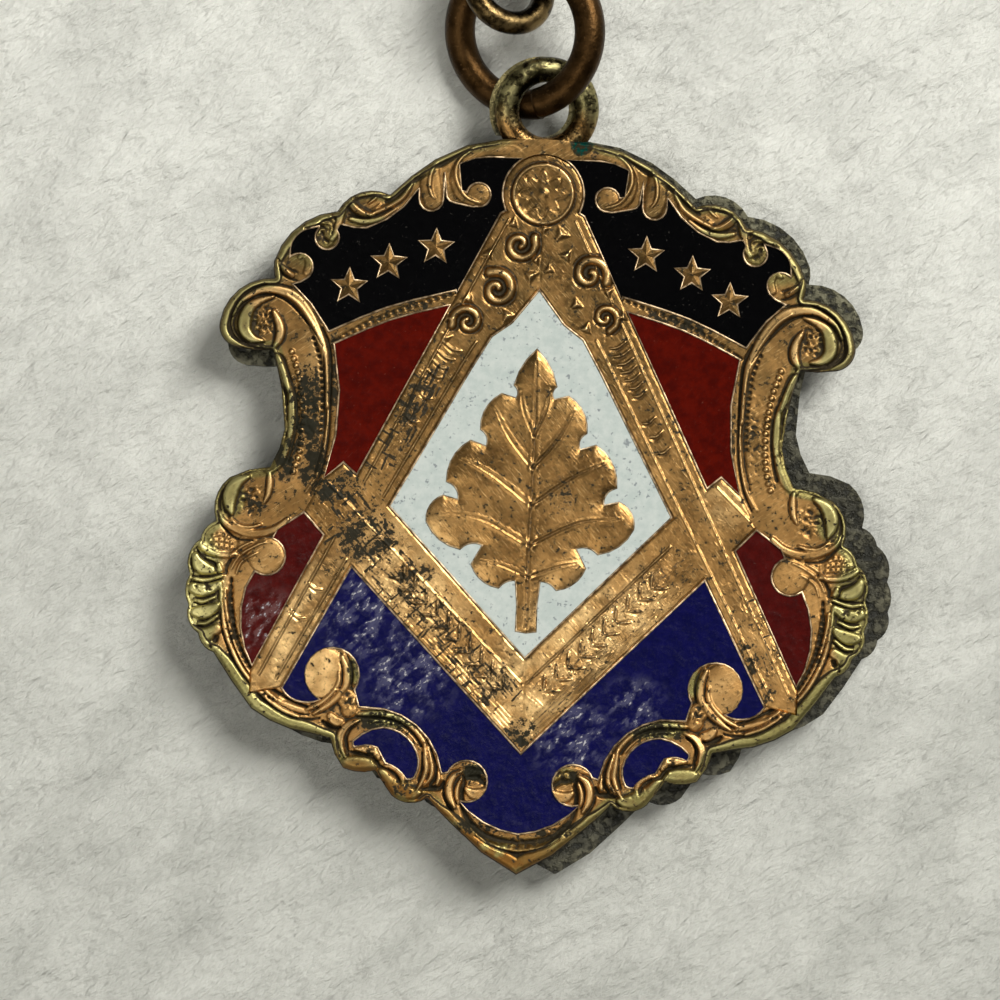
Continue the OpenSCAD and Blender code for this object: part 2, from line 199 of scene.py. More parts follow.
# Raised, smooth bands: height, then rows of out from the middle line, up, and width. Both halves are alike.
bands = [
    (0.1, [(0.6, 12.95, 0.1), (1.2, 13.05, 0.34), (2.2, 13.02, 0.42), (2.85, 12.75, 0.4),
        (3.25, 12.3, 0.42), (3.27, 11.75, 0.46), (3.05, 11.3, 0.4), (2.6, 11.05, 0.26)]),
    (0.12, [(4.1, 12.55, 0.3), (4.25, 12.1, 0.7), (4.22, 11.5, 0.84), (4.15, 11.1, 0.74)]),
    (0.12, [(4.95, 11.75, 0.14), (5.25, 11.2, 0.24), (5.75, 10.82, 0.24), (6.3, 10.55, 0.22)]),
    (0.16, [(5.5, 10.72, 0.1), (6.1, 10.33, 0.2), (6.7, 10.2, 0.24), (7.2, 10.28, 0.16)]),
    (0.2, [(6.35, 10.45, 0.14), (6.7, 10.5, 0.26), (7.05, 10.7, 0.32), (7.25, 10.95, 0.16)]),
    (0.16, [(7.5, 10.65, 0.3), (7.62, 10.25, 0.34), (7.7, 9.8, 0.3), (7.85, 9.5, 0.2)]),
    (0.16, [(9.85, 8.6, 0.16), (9.6, 8.3, 0.26), (9.3, 8.08, 0.2)]),
    (0.08, [(8.75, 8.2, 0.3), (8.68, 8.55, 0.3), (8.85, 8.85, 0.24), (9.05, 8.75, 0.18)]),
    (0.2, [(7.8, 3.2, 0.14), (7.85, 4.4, 0.22), (7.95, 5.2, 0.3), (8.3, 6.1, 0.38), (8.75, 6.85, 0.42),
        (9.2, 7.3, 0.42), (9.75, 7.5, 0.38), (10.3, 7.5, 0.32), (10.8, 7.28, 0.24), (11.2, 6.98, 0.14),
        (11.45, 6.5, 0.07)]),
    (0.22, [(9.95, 7.25, 0.08), (10.4, 7.1, 0.26), (10.83, 6.8, 0.42), (11.0, 6.35, 0.54),
        (10.98, 5.95, 0.5), (10.7, 5.65, 0.34), (10.3, 5.57, 0.12)]),
    (0.24, [(9.95, 6.72, 0.12), (9.77, 6.4, 0.3), (9.65, 6.0, 0.36), (9.7, 5.66, 0.32),
        (9.85, 5.38, 0.16)]),
    (0.22, [(9.88, 5.3, 0.12), (9.7, 4.93, 0.22), (9.49, 4.52, 0.24), (9.36, 4.1, 0.22),
        (9.22, 3.7, 0.12)]),
    (0.14, [(9.2, 4.0, 0.14), (9.12, 3.3, 0.3), (9.1, 2.6, 0.36), (9.14, 2.1, 0.24)]),
    (0.1, [(9.2, 1.9, 0.3), (9.5, 1.1, 0.44), (9.9, 0.7, 0.3)]),
    (0.24, [(10.65, 0.45, 0.16), (11.05, 0.22, 0.46), (11.27, -0.2, 0.58), (11.3, -0.6, 0.44),
        (11.2, -0.95, 0.14)]),
    (0.2, [(9.85, 0.65, 0.14), (9.82, 0.25, 0.26), (9.88, -0.2, 0.22), (10.0, -0.5, 0.1)]),
    (0.14, [(11.65, -0.9, 0.1), (11.45, -1.25, 0.3), (10.95, -1.55, 0.34), (10.3, -1.68, 0.36),
        (9.6, -1.5, 0.3), (9.1, -1.1, 0.2)]),
    (0.1, [(11.25, -1.15, 0.1), (10.96, -1.37, 0.16), (10.48, -1.42, 0.16), (10.1, -1.32, 0.1)]),
    (0.16, [(12.4, -2.1, 0.22), (12.05, -2.36, 0.3), (11.5, -2.52, 0.24), (10.96, -2.48, 0.16)]),
    (0.22, [(12.5, -2.6, 0.3), (12.3, -2.95, 0.56), (12.0, -3.08, 0.44), (11.8, -3.1, 0.3)]),
    (0.12, [(11.62, -2.9, 0.2), (11.55, -3.1, 0.22)]),
    (0.12, [(12.55, -3.45, 0.12), (12.1, -3.5, 0.16), (11.45, -3.3, 0.1)]),
    (0.16, [(12.55, -3.8, 0.4), (12.2, -3.88, 0.5), (11.8, -3.75, 0.4), (11.55, -3.6, 0.24)]),
    (0.16, [(12.5, -4.26, 0.08), (12.16, -4.3, 0.16), (11.72, -4.12, 0.1)]),
    (0.16, [(12.45, -4.7, 0.34), (12.1, -4.7, 0.56), (11.75, -4.55, 0.4), (11.6, -4.4, 0.2)]),
    (0.18, [(12.3, -5.14, 0.08), (12.0, -5.1, 0.17), (11.6, -4.82, 0.12)]),
    (0.14, [(12.2, -5.5, 0.34), (11.9, -5.5, 0.5), (11.6, -5.3, 0.4)]),
    (0.16, [(11.5, -3.6, 0.1), (11.45, -4.3, 0.2), (11.3, -5.2, 0.2), (11.0, -6.05, 0.2),
        (10.55, -6.85, 0.22), (9.85, -7.62, 0.22), (9.1, -8.2, 0.2), (8.4, -8.48, 0.14)]),
    (0.18, [(11.35, -3.8, 0.08), (11.28, -4.5, 0.12), (11.08, -5.3, 0.13), (10.78, -6.05, 0.13),
        (10.3, -6.85, 0.13), (9.7, -7.5, 0.13), (9.25, -7.9, 0.1)]),
    (0.1, [(9.75, -7.45, 0.14), (9.3, -7.9, 0.28), (8.7, -8.15, 0.3), (8.1, -8.28, 0.24)]),
    (0.2, [(7.85, -8.35, 0.1), (7.45, -8.08, 0.24), (6.98, -7.68, 0.3), (6.68, -7.19, 0.32),
        (6.66, -6.66, 0.3), (6.85, -6.15, 0.16)]),
    (0.22, [(8.1, -8.2, 0.1), (7.56, -7.92, 0.2), (7.12, -7.5, 0.2), (6.94, -7.1, 0.18),
        (6.95, -6.75, 0.1)]),
    (0.08, [(6.9, -5.86, 0.14), (6.5, -6.27, 0.32), (6.32, -6.75, 0.36), (6.35, -7.15, 0.2)]),
    (0.14, [(7.2, -8.4, 0.3), (7.0, -8.6, 0.44), (6.8, -8.6, 0.3)]),
    (0.2, [(6.1, -8.5, 0.12), (6.5, -8.68, 0.26), (6.78, -9.05, 0.3), (6.78, -9.5, 0.22),
        (6.6, -9.9, 0.1)]),
    (0.12, [(7.0, -9.2, 0.1), (6.88, -9.7, 0.14), (6.62, -10.0, 0.12)]),
    (0.2, [(6.55, -10.1, 0.4), (6.2, -10.15, 0.62), (5.75, -10.15, 0.5), (5.45, -10.25, 0.2)]),
    (0.16, [(6.2, -9.6, 0.12), (5.85, -9.6, 0.3), (5.5, -9.65, 0.34), (5.35, -9.9, 0.2)]),
    (0.18, [(5.2, -10.5, 0.5), (4.9, -10.85, 0.66), (4.45, -11.1, 0.7), (4.05, -11.2, 0.5),
        (3.75, -11.15, 0.2)]),
    (0.12, [(5.1, -10.2, 0.1), (4.75, -10.25, 0.26), (4.45, -10.55, 0.26), (4.35, -10.8, 0.12)]),
    (0.1, [(6.15, -8.28, 0.16), (5.5, -8.25, 0.2), (4.9, -8.3, 0.2), (4.4, -8.5, 0.2), (3.9, -8.9, 0.2),
        (3.5, -9.5, 0.16), (3.25, -10.1, 0.12)]),
    (0.08, [(5.7, -8.55, 0.1), (5.2, -8.52, 0.12), (4.7, -8.62, 0.14), (4.25, -8.88, 0.14),
        (3.9, -9.3, 0.12)]),
    (0.22, [(3.62, -9.3, 0.1), (3.57, -9.83, 0.2), (3.53, -10.3, 0.2), (3.68, -10.76, 0.16),
        (3.9, -11.13, 0.06)]),
    (0.2, [(3.48, -9.4, 0.06), (3.38, -9.83, 0.14), (3.31, -10.2, 0.17), (3.36, -10.57, 0.16),
        (3.6, -10.87, 0.06)]),
    (0.1, [(3.08, -10.35, 0.1), (3.05, -10.6, 0.18), (3.1, -10.8, 0.1)]),
    (0.24, [(2.2, -10.28, 0.1), (2.5, -10.5, 0.26), (2.64, -10.85, 0.3), (2.6, -11.25, 0.28),
        (2.4, -11.65, 0.1)]),
    (0.2, [(2.2, -10.55, 0.08), (2.33, -10.9, 0.16), (2.34, -11.27, 0.14), (2.25, -11.5, 0.06)]),
    (0.06, [(2.6, -10.2, 0.1), (2.2, -10.08, 0.2), (1.7, -10.05, 0.2), (1.3, -10.25, 0.2),
        (1.1, -10.55, 0.14)]),
    (0.14, [(2.05, -10.9, 0.1), (1.75, -11.1, 0.4), (1.4, -11.1, 0.46), (1.1, -10.9, 0.3),
        (1.0, -10.65, 0.12)]),
    (0.1, [(1.75, -12.5, 0.08), (1.15, -12.9, 0.14), (0.59, -13.06, 0.16), (0, -13.15, 0.18)])]
# Sharp crests on the bands
crests = [
    (0.14, [(0.69, 12.87, 0.06), (1.0, 13.16, 0.12), (1.28, 13.27, 0.12), (1.73, 13.27, 0.12),
        (2.3, 13.2, 0.06)]),
    (0.16, [(2.7, 13.06, 0.06), (3.05, 12.81, 0.14), (3.26, 12.5, 0.18), (3.31, 12.1, 0.2),
        (3.22, 11.77, 0.2), (3.05, 11.46, 0.18), (2.84, 11.25, 0.16), (2.57, 11.13, 0.12),
        (2.36, 11.08, 0.06)]),
    (0.16, [(4.06, 12.5, 0.06), (4.23, 12.12, 0.18), (4.28, 11.7, 0.2), (4.21, 11.36, 0.16),
        (4.07, 11.15, 0.06)]),
    (0.12, [(4.87, 11.8, 0.12), (5.1, 11.4, 0.14), (5.3, 11.12, 0.16), (5.7, 10.83, 0.16),
        (6.22, 10.57, 0.14), (6.48, 10.46, 0.08)]),
    (0.14, [(6.4, 10.42, 0.06), (6.7, 10.52, 0.14), (6.98, 10.7, 0.18), (7.2, 10.92, 0.06)]),
    (0.12, [(6.22, 11.17, 0.12), (6.4, 11.0, 0.16), (6.56, 10.87, 0.06)]),
    (0.1, [(6.12, 10.85, 0.12), (6.25, 10.75, 0.12), (6.4, 10.66, 0.06)]),
    (0.1, [(7.97, 10.33, 0.08), (7.88, 10.22, 0.12), (7.82, 10.1, 0.06)]),
    (0.1, [(8.8, 9.96, 0.08), (8.4, 10.06, 0.14), (8.0, 10.06, 0.12), (7.88, 9.9, 0.08),
        (7.95, 9.62, 0.06)]),
    (0.1, [(8.35, 9.72, 0.06), (8.2, 9.6, 0.1), (8.2, 9.4, 0.06)]),
    (0.12, [(9.66, 8.38, 0.06), (9.5, 8.24, 0.16), (9.32, 8.1, 0.06)]),
    (0.06, [(7.79, 3.8, 0.1), (7.93, 5.0, 0.12), (8.2, 5.8, 0.12), (8.6, 6.5, 0.12), (9.0, 7.0, 0.12),
        (9.5, 7.35, 0.1)]),
    (0.1, [(7.74, 3.3, 0.1), (7.74, 2.6, 0.1), (7.82, 1.6, 0.1), (8.05, 0.7, 0.1), (8.5, -0.1, 0.06)]),
    (0.08, [(11.18, -1.2, 0.06), (10.9, -1.4, 0.1), (10.5, -1.45, 0.1), (10.15, -1.35, 0.06)]),
    (0.08, [(12.3, -2.03, 0.06), (11.97, -2.24, 0.08), (11.52, -2.38, 0.1), (10.96, -2.38, 0.06)]),
    (0.12, [(11.15, -3.05, 0.06), (10.98, -2.7, 0.14), (10.7, -2.4, 0.16), (10.25, -2.12, 0.12),
        (9.9, -1.98, 0.06)]),
    (0.12, [(10.95, -3.2, 0.08), (10.8, -2.8, 0.14), (10.5, -2.55, 0.12), (10.2, -2.4, 0.06)]),
    (0.12, [(11.35, -2.85, 0.06), (11.15, -2.5, 0.12), (10.8, -2.2, 0.12), (10.4, -1.98, 0.06)]),
    (0.1, [(6.02, -8.5, 0.1), (6.3, -8.62, 0.12), (6.6, -8.92, 0.12), (6.72, -9.25, 0.12),
        (6.65, -9.6, 0.06)]),
    (0.08, [(1.6, -12.6, 0.06), (1.14, -12.92, 0.1), (0.59, -13.1, 0.1), (0, -13.2, 0.1)]),
    (0.1, [(5.62, -10.0, 0.06), (5.36, -10.35, 0.1), (5.1, -10.76, 0.06)])]
# Engraved lines and channels, where dirt collects: depth, then rows as above
grooves = [
    (0.1, [(2.8, 13.1, 0.06), (3.3, 12.82, 0.12), (3.8, 12.5, 0.24), (4.05, 12.35, 0.12)]),
    (0.1, [(4.45, 12.05, 0.08), (4.85, 11.78, 0.1), (5.2, 11.5, 0.14), (5.55, 11.2, 0.12),
        (5.9, 10.98, 0.1)]),
    (0.12, [(5.7, 10.72, 0.06), (6.2, 10.45, 0.08), (6.7, 10.33, 0.08), (7.25, 10.42, 0.06)]),
    (0.1, [(5.9, 11.2, 0.1), (6.3, 11.2, 0.14), (6.8, 11.1, 0.14), (7.1, 11.0, 0.1)]),
    (0.12, [(8.9, 9.85, 0.08), (8.4, 9.95, 0.1), (8.1, 9.88, 0.08)]),
    (0.12, [(8.25, 9.75, 0.1), (8.15, 9.5, 0.12), (8.0, 9.4, 0.1)]),
    (0.1, [(7.9, 10.4, 0.05), (7.75, 10.25, 0.07), (7.8, 10.0, 0.07), (7.86, 9.7, 0.05)]),
    (0.12, [(9.88, 8.72, 0.06), (9.7, 8.5, 0.09), (9.4, 8.3, 0.09), (9.1, 8.2, 0.06)]),
    (0.12, [(9.86, 8.6, 0.05), (9.68, 8.16, 0.09), (9.35, 7.94, 0.08), (9.1, 7.88, 0.06)]),
    (0.16, [(9.3, 7.62, 0.06), (9.97, 7.71, 0.09), (10.4, 7.66, 0.1), (10.77, 7.48, 0.1),
        (11.12, 7.24, 0.1), (11.37, 6.9, 0.1), (11.53, 6.46, 0.12), (11.55, 6.1, 0.13), (11.42, 5.75, 0.15),
        (11.1, 5.46, 0.15), (10.67, 5.33, 0.13), (10.2, 5.28, 0.1), (9.95, 5.27, 0.06)]),
    (0.14, [(8.05, 5.45, 0.05), (8.48, 6.12, 0.07), (8.93, 6.65, 0.07), (9.35, 7.03, 0.07),
        (9.77, 7.27, 0.08), (10.18, 7.34, 0.08), (10.53, 7.29, 0.08), (10.87, 7.09, 0.08),
        (11.17, 6.83, 0.08), (11.36, 6.5, 0.08), (11.44, 6.2, 0.08), (11.37, 5.9, 0.09),
        (11.18, 5.66, 0.08), (10.87, 5.44, 0.07)]),
    (0.1, [(9.84, 5.15, 0.06), (9.55, 5.0, 0.14), (9.35, 4.5, 0.14), (9.15, 4.0, 0.12), (8.98, 3.4, 0.12),
        (8.94, 2.6, 0.12), (9.02, 1.8, 0.14), (9.2, 1.1, 0.2)]),
    (0.1, [(9.76, 4.7, 0.05), (9.6, 4.2, 0.08), (9.42, 3.7, 0.12), (9.28, 3.2, 0.06)]),
    (0.14, [(8.1, 6.15, 0.1), (7.82, 5.5, 0.16), (7.72, 4.6, 0.14), (7.7, 3.6, 0.12), (7.68, 2.6, 0.12),
        (7.76, 1.6, 0.12), (7.98, 0.6, 0.12), (8.3, -0.1, 0.08)]),
    (0.1, [(8.0, 5.2, 0.06), (7.95, 4.6, 0.12), (7.9, 3.6, 0.12), (7.88, 2.6, 0.12), (7.98, 1.6, 0.12),
        (8.2, 0.7, 0.1)]),
    (0.12, [(11.6, -0.1, 0.05), (11.68, -0.6, 0.08), (11.55, -1.05, 0.08), (11.2, -1.35, 0.06)]),
    (0.14, [(11.6, -1.35, 0.06), (11.28, -1.7, 0.09), (10.96, -1.9, 0.1), (10.4, -1.95, 0.08)]),
    (0.1, [(12.3, -2.12, 0.06), (11.97, -2.3, 0.06), (11.5, -2.44, 0.05), (11.0, -2.42, 0.04)]),
    (0.16, [(12.45, -2.37, 0.06), (12.27, -2.64, 0.09), (12.0, -2.76, 0.09), (11.78, -2.86, 0.09),
        (11.7, -3.16, 0.1)]),
    (0.14, [(11.2, -2.7, 0.14), (11.32, -2.95, 0.18), (11.32, -3.2, 0.14)]),
    (0.14, [(12.62, -3.36, 0.07), (12.08, -3.38, 0.07), (11.4, -3.2, 0.06)]),
    (0.14, [(12.55, -3.56, 0.05), (12.1, -3.6, 0.07), (11.45, -3.4, 0.06)]),
    (0.14, [(12.5, -4.18, 0.05), (12.15, -4.2, 0.07), (11.74, -4.04, 0.06)]),
    (0.14, [(12.5, -4.33, 0.06), (12.15, -4.4, 0.08), (11.72, -4.2, 0.06)]),
    (0.14, [(12.32, -5.04, 0.05), (12.0, -5.0, 0.07), (11.6, -4.72, 0.06)]),
    (0.14, [(12.3, -5.22, 0.06), (11.98, -5.2, 0.08), (11.58, -4.92, 0.06)]),
    (0.18, [(11.62, -5.62, 0.24), (11.64, -5.74, 0.22)]),
    (0.16, [(11.82, -5.96, 0.16), (11.8, -6.0, 0.16)]),
    (0.1, [(12.45, -3.72, 0.12), (12.43, -3.76, 0.1)]),
    (0.1, [(12.05, -3.68, 0.08), (12.05, -3.85, 0.08), (11.98, -3.82, 0.05)]),
    (0.14, [(11.5, -4.3, 0.05), (11.42, -5.2, 0.08), (11.16, -5.95, 0.08), (10.74, -6.75, 0.08),
        (10.05, -7.55, 0.08), (9.3, -8.2, 0.08), (8.66, -8.52, 0.08), (8.0, -8.57, 0.08),
        (7.6, -8.5, 0.08)]),
    (0.12, [(11.42, -3.9, 0.04), (11.34, -4.6, 0.06), (11.17, -5.3, 0.06), (10.88, -6.05, 0.06),
        (10.42, -6.85, 0.06), (9.8, -7.55, 0.06), (9.15, -8.05, 0.06), (8.5, -8.32, 0.06),
        (8.0, -8.4, 0.05)]),
    (0.18, [(11.12, -3.4, 0.12), (11.12, -4.2, 0.24), (10.98, -5.2, 0.24), (10.66, -6.1, 0.24),
        (10.2, -6.85, 0.24), (9.6, -7.35, 0.2), (9.1, -7.66, 0.16), (8.5, -7.95, 0.14), (8.1, -8.1, 0.1)]),
    (0.2, [(7.5, -8.62, 0.12), (7.3, -8.74, 0.24), (7.0, -8.86, 0.2), (6.8, -8.82, 0.1)]),
    (0.14, [(7.05, -7.36, 0.05), (6.84, -7.3, 0.06), (6.8, -6.8, 0.07), (6.9, -6.35, 0.05)]),
    (0.12, [(7.75, -8.18, 0.05), (7.3, -7.8, 0.06), (7.0, -7.45, 0.06)]),
    (0.12, [(6.75, -5.95, 0.06), (6.5, -6.45, 0.1), (6.44, -6.9, 0.12), (6.5, -7.3, 0.1)]),
    (0.16, [(6.2, -8.68, 0.08), (6.45, -8.85, 0.14), (6.58, -9.15, 0.14), (6.52, -9.6, 0.1),
        (6.5, -9.85, 0.06)]),
    (0.12, [(6.9, -9.3, 0.05), (6.75, -9.75, 0.07), (6.6, -9.98, 0.06)]),
    (0.14, [(6.4, -9.72, 0.1), (5.9, -9.8, 0.12), (5.5, -9.9, 0.14), (5.3, -10.2, 0.14),
        (5.05, -10.3, 0.1)]),
    (0.12, [(5.55, -10.05, 0.05), (5.3, -10.45, 0.07), (5.05, -10.85, 0.05)]),
    (0.12, [(4.95, -10.3, 0.1), (4.65, -10.5, 0.14), (4.5, -10.8, 0.12)]),
    (0.14, [(6.2, -8.42, 0.06), (5.6, -8.4, 0.12), (5.0, -8.44, 0.14), (4.5, -8.65, 0.14),
        (4.05, -9.0, 0.14), (3.75, -9.4, 0.1)]),
    (0.12, [(6.1, -8.16, 0.04), (5.3, -8.14, 0.06), (4.6, -8.3, 0.06), (4.0, -8.68, 0.06),
        (3.55, -9.2, 0.06), (3.3, -9.7, 0.06), (3.12, -10.2, 0.05)]),
    (0.14, [(3.42, -9.5, 0.06), (3.22, -10.0, 0.09), (3.15, -10.5, 0.12), (3.35, -10.85, 0.14)]),
    (0.14, [(3.68, -9.6, 0.05), (3.68, -10.2, 0.08), (3.8, -10.7, 0.08)]),
    (0.18, [(3.6, -11.02, 0.1), (3.3, -10.98, 0.26), (2.98, -10.95, 0.2), (2.85, -10.7, 0.1)]),
    (0.14, [(2.85, -10.95, 0.08), (2.8, -11.3, 0.1), (2.5, -11.8, 0.1), (2.15, -12.15, 0.1),
        (1.8, -12.45, 0.08)]),
    (0.14, [(2.15, -10.42, 0.06), (2.08, -10.7, 0.16), (2.15, -11.1, 0.18), (2.12, -11.5, 0.24),
        (2.0, -11.9, 0.3), (1.75, -12.25, 0.3), (1.4, -12.5, 0.3), (0.9, -12.75, 0.26), (0, -12.9, 0.2)]),
    (0.1, [(1.6, -12.68, 0.05), (1.1, -13.0, 0.06), (0.5, -13.22, 0.06), (0, -13.3, 0.06)]),
    (0.14, [(1.9, -10.5, 0.2), (1.5, -10.55, 0.3), (1.25, -10.75, 0.2)]),
    (0.1, [(2.9, 7.75, 0.14), (4.2, 7.3, 0.2), (5.4, 6.84, 0.2), (6.6, 6.27, 0.2), (7.7, 5.6, 0.16)])]
# Rows of beads, and of pits where the height is below 0: height, radius, step, then places along the row
bead_rows = [
    (0.13, 0.11, 0.27, [(9.2, 5.2), (8.9, 4.3), (8.74, 3.3), (8.7, 2.4), (8.78, 1.4), (9.0, 0.6)]),
    (-0.1, 0.08, 0.24, [(8.4, 5.75), (8.12, 4.9), (8.02, 3.9), (7.98, 2.9), (8.02, 2.0)]),
    (0.08, 0.09, 0.28, [(3.2, 7.62), (4.2, 7.28), (5.4, 6.82), (6.6, 6.25), (7.5, 5.72)]),
    (0.08, 0.08, 0.24, [(11.12, -3.6), (11.1, -4.4), (10.98, -5.2), (10.66, -6.1), (10.2, -6.85),
        (9.6, -7.35)]),
    (0.08, 0.09, 0.2, [(11.3, -1.85), (11.6, -1.75), (11.9, -1.85)]),
    (0.08, 0.09, 0.2, [(11.2, -2.05), (11.6, -1.98), (12.05, -2.02)]),
    (0.08, 0.09, 0.2, [(11.2, -2.25), (11.5, -2.2), (11.8, -2.18)])]
# Discs and knobs of the scroll ends: out, up, radius and height at the middle
discs = [
    (2.42, 11.38, 0.42, 0.05), (8.1, 9.55, 0.38, 0.02), (7.55, -6.8, 0.95, 0.08), (9.85, -2.5, 0.68, 0.08),
    (6.6, -7.75, 0.36, 0.1), (6.5, -8.15, 0.3, 0.08), (10.55, -2.1, 0.4, 0.02)]
# Rough, pitted ground, where dirt stays too: out, up, half width, half height and depth
pitted = [
    (10.28, 6.36, 0.56, 0.8, 0.14), (8.3, 2.6, 0.42, 2.2, 0.05), (10.5, -0.4, 0.66, 0.7, 0.14),
    (11.05, -5.0, 0.22, 1.6, 0.1), (5.0, -8.5, 1.3, 0.4, 0.06), (5.6, -9.7, 0.5, 0.3, 0.1),
    (4.4, -10.8, 0.6, 0.3, 0.06), (1.5, -12.4, 0.9, 0.4, 0.1), (1.5, -10.35, 0.6, 0.4, 0.12),
    (12.1, -3.8, 0.5, 0.3, 0.06), (6.5, -7.7, 0.4, 0.5, 0.12), (9.4, -7.7, 1.0, 0.3, 0.1),
    (8.16, 9.6, 0.4, 0.4, 0.08), (0, -12.9, 1.2, 0.3, 0.06)]
# Where the plating is worn off and the brass shows: out, up, half width and half height
brassy = [
    (8.9, 9.4, 1.7, 1.3), (11.1, 6.2, 0.7, 1.1), (11.2, -0.4, 0.6, 0.9), (12.1, -3.9, 0.9, 2.6),
    (6.5, 10.2, 1.1, 0.3), (6.1, -10.2, 0.9, 0.5), (4.5, -11.1, 0.9, 0.5), (5.0, -8.4, 1.5, 0.5),
    (1.0, -13.3, 2.2, 0.8), (6.35, -6.6, 0.3, 0.8), (1.6, -10.3, 0.7, 0.4), (9.2, 2.9, 0.3, 1.0)]
# The smooth rolled rim along the plate's edge: its width at some places
rim_widths = [
    (1.5, 13.4, 0.18), (3.5, 12.8, 0.22), (5.2, 11.8, 0.16), (6.6, 11.3, 0.22), (7.7, 10.5, 0.2),
    (8.9, 10.1, 0.36), (9.7, 9.3, 0.4), (9.9, 8.5, 0.24), (10.8, 7.6, 0.2), (11.6, 6.9, 0.3),
    (11.8, 6.0, 0.34), (11.0, 5.2, 0.2), (9.8, 4.8, 0.12), (9.4, 3.0, 0.1), (9.5, 1.2, 0.08),
    (10.5, 0.6, 0.08), (11.7, 0, 0.1), (11.8, -1.1, 0.14), (12.3, -2.0, 0.1), (12.7, -3.5, 0.1),
    (12.5, -5.0, 0.1), (12.0, -5.9, 0.28), (11.2, -7.0, 0.48), (10.0, -8.2, 0.5), (8.4, -8.9, 0.46),
    (7.3, -9.1, 0.3), (6.9, -9.9, 0.12), (6.2, -10.5, 0.08), (5.2, -10.8, 0.1), (4.4, -11.5, 0.08),
    (3.3, -11.4, 0.16), (2.6, -12.2, 0.42), (1.6, -13.1, 0.46), (0, -14.0, 0.6)]
rim_rise = 0.17
rim_blend = 0.5             # the square of how far one width's place is felt
edge_in, edge_down = 0.26, 0.3      # how far the plate's edge is rounded over
random = np.random.default_rng(1868)


def flat_loops(node, facing):
    """The edges of a node's highest (1) or lowest (-1) flat faces, as loops in mm, longest first."""
    bm = bmesh.new()
    bm.from_mesh(frame["nodes"][node].data)
    bmesh.ops.remove_doubles(bm, verts=bm.verts, dist=0.002 * mm)
    flat = [f for f in bm.faces if f.normal.z * facing > 0.99]
    level = max(f.calc_center_median().z * facing for f in flat)
    flat = [f for f in flat if f.calc_center_median().z * facing > level - 0.01 * mm]
    chosen = set(flat)
    after = {}
    for f in flat:
        for side in f.loops:
            if sum(other in chosen for other in side.edge.link_faces) == 1:
                after[side.vert] = side.link_loop_next.vert
    loops = []
    while after:
        vert, following = after.popitem()
        loop = [vert]
        while following in after:
            loop.append(following)
            following = after.pop(following)
        loops.append(np.array([v.co.xy for v in loop]) / mm)
    bm.free()
    return sorted(loops, key=lambda loop: np.ptp(loop, axis=0).sum(), reverse=True)


def smooth_path(rows, steps=8):
    """The curve through a stroke's rows."""
    rows = np.array(rows, float)
    spread = np.vstack([2 * rows[0] - rows[1], rows, 2 * rows[-1] - rows[-2]])
    t = np.linspace(0, 1, steps, endpoint=False)[:, None]
    spans = [b + (c - a) * t / 2 + (2 * a - 5 * b + 4 * c - d) * t**2 / 2
             + (3 * b - a - 3 * c + d) * t**3 / 2
             for a, b, c, d in zip(spread, spread[1:], spread[2:], spread[3:])]
    return np.vstack(spans + [rows[-1:]])


def blank_relief(low, high):
    """Level ground between two corners, with its masks of bare brass and of dirt."""
    across = np.arange(low[0], high[0], pitch)
    up = np.arange(low[1], high[1], pitch)
    shape = (len(up), len(across))
    return {"x": across, "y": up, "z": np.full(shape, ground), "brass": np.zeros(shape),
            "dirt": np.zeros(shape)}


def nearness(relief, path):
    """How far each sample lies from a stroke, in half widths of the stroke there."""
    far = 9.0
    near = np.full(relief["z"].shape, far)
    for (x0, y0, w0), (x1, y1, w1) in zip(path, path[1:]):
        reach = max(w0, w1) / 2 + pitch
        rows = slice(*np.searchsorted(relief["y"], (min(y0, y1) - reach, max(y0, y1) + reach)))
        columns = slice(*np.searchsorted(relief["x"], (min(x0, x1) - reach, max(x0, x1) + reach)))
        x = relief["x"][None, columns] - x0
        y = relief["y"][rows, None] - y0
        run, rise = x1 - x0, y1 - y0
        t = np.clip((x * run + y * rise) / max(run * run + rise * rise, 1e-9), 0, 1)
        apart = np.hypot(x - t * run, y - t * rise) / ((w0 + (w1 - w0) * t) / 2)
        near[rows, columns] = np.minimum(near[rows, columns], apart)
    return near


def edge_distance(relief, loop, reach=1.2):
    """How far each sample lies from a loop, up to a reach."""
    rows = np.column_stack([np.vstack([loop, loop[:1]]), np.full(len(loop) + 1, 2 * reach)])
    return np.minimum(nearness(relief, rows), 1) * reach


def raise_band(relief, height, rows):
    near = nearness(relief, smooth_path(rows))
    body = ground + height * np.sqrt(np.clip(1 - near**4, 0, 1))
    relief["z"] = np.maximum(relief["z"], body)


def raise_crest(relief, height, rows):
    near = nearness(relief, smooth_path(rows))
    relief["z"] += height * np.clip(1 - near, 0, 1)


def cut_groove(relief, depth, rows, dirt=0.9):
    near = nearness(relief, smooth_path(rows))
    relief["z"] -= depth * np.clip(1 - near**2, 0, 1)
    relief["dirt"] = np.maximum(relief["dirt"], dirt * np.clip(1.15 - near, 0, 1))


def within(x, y, patch):
    """1 in the middle of an elliptical patch, falling to 0 at its edge."""
    return np.clip(1.6 - 1.6 * np.hypot((x - patch[0]) / patch[2], (y - patch[1]) / patch[3]), 0, 1)


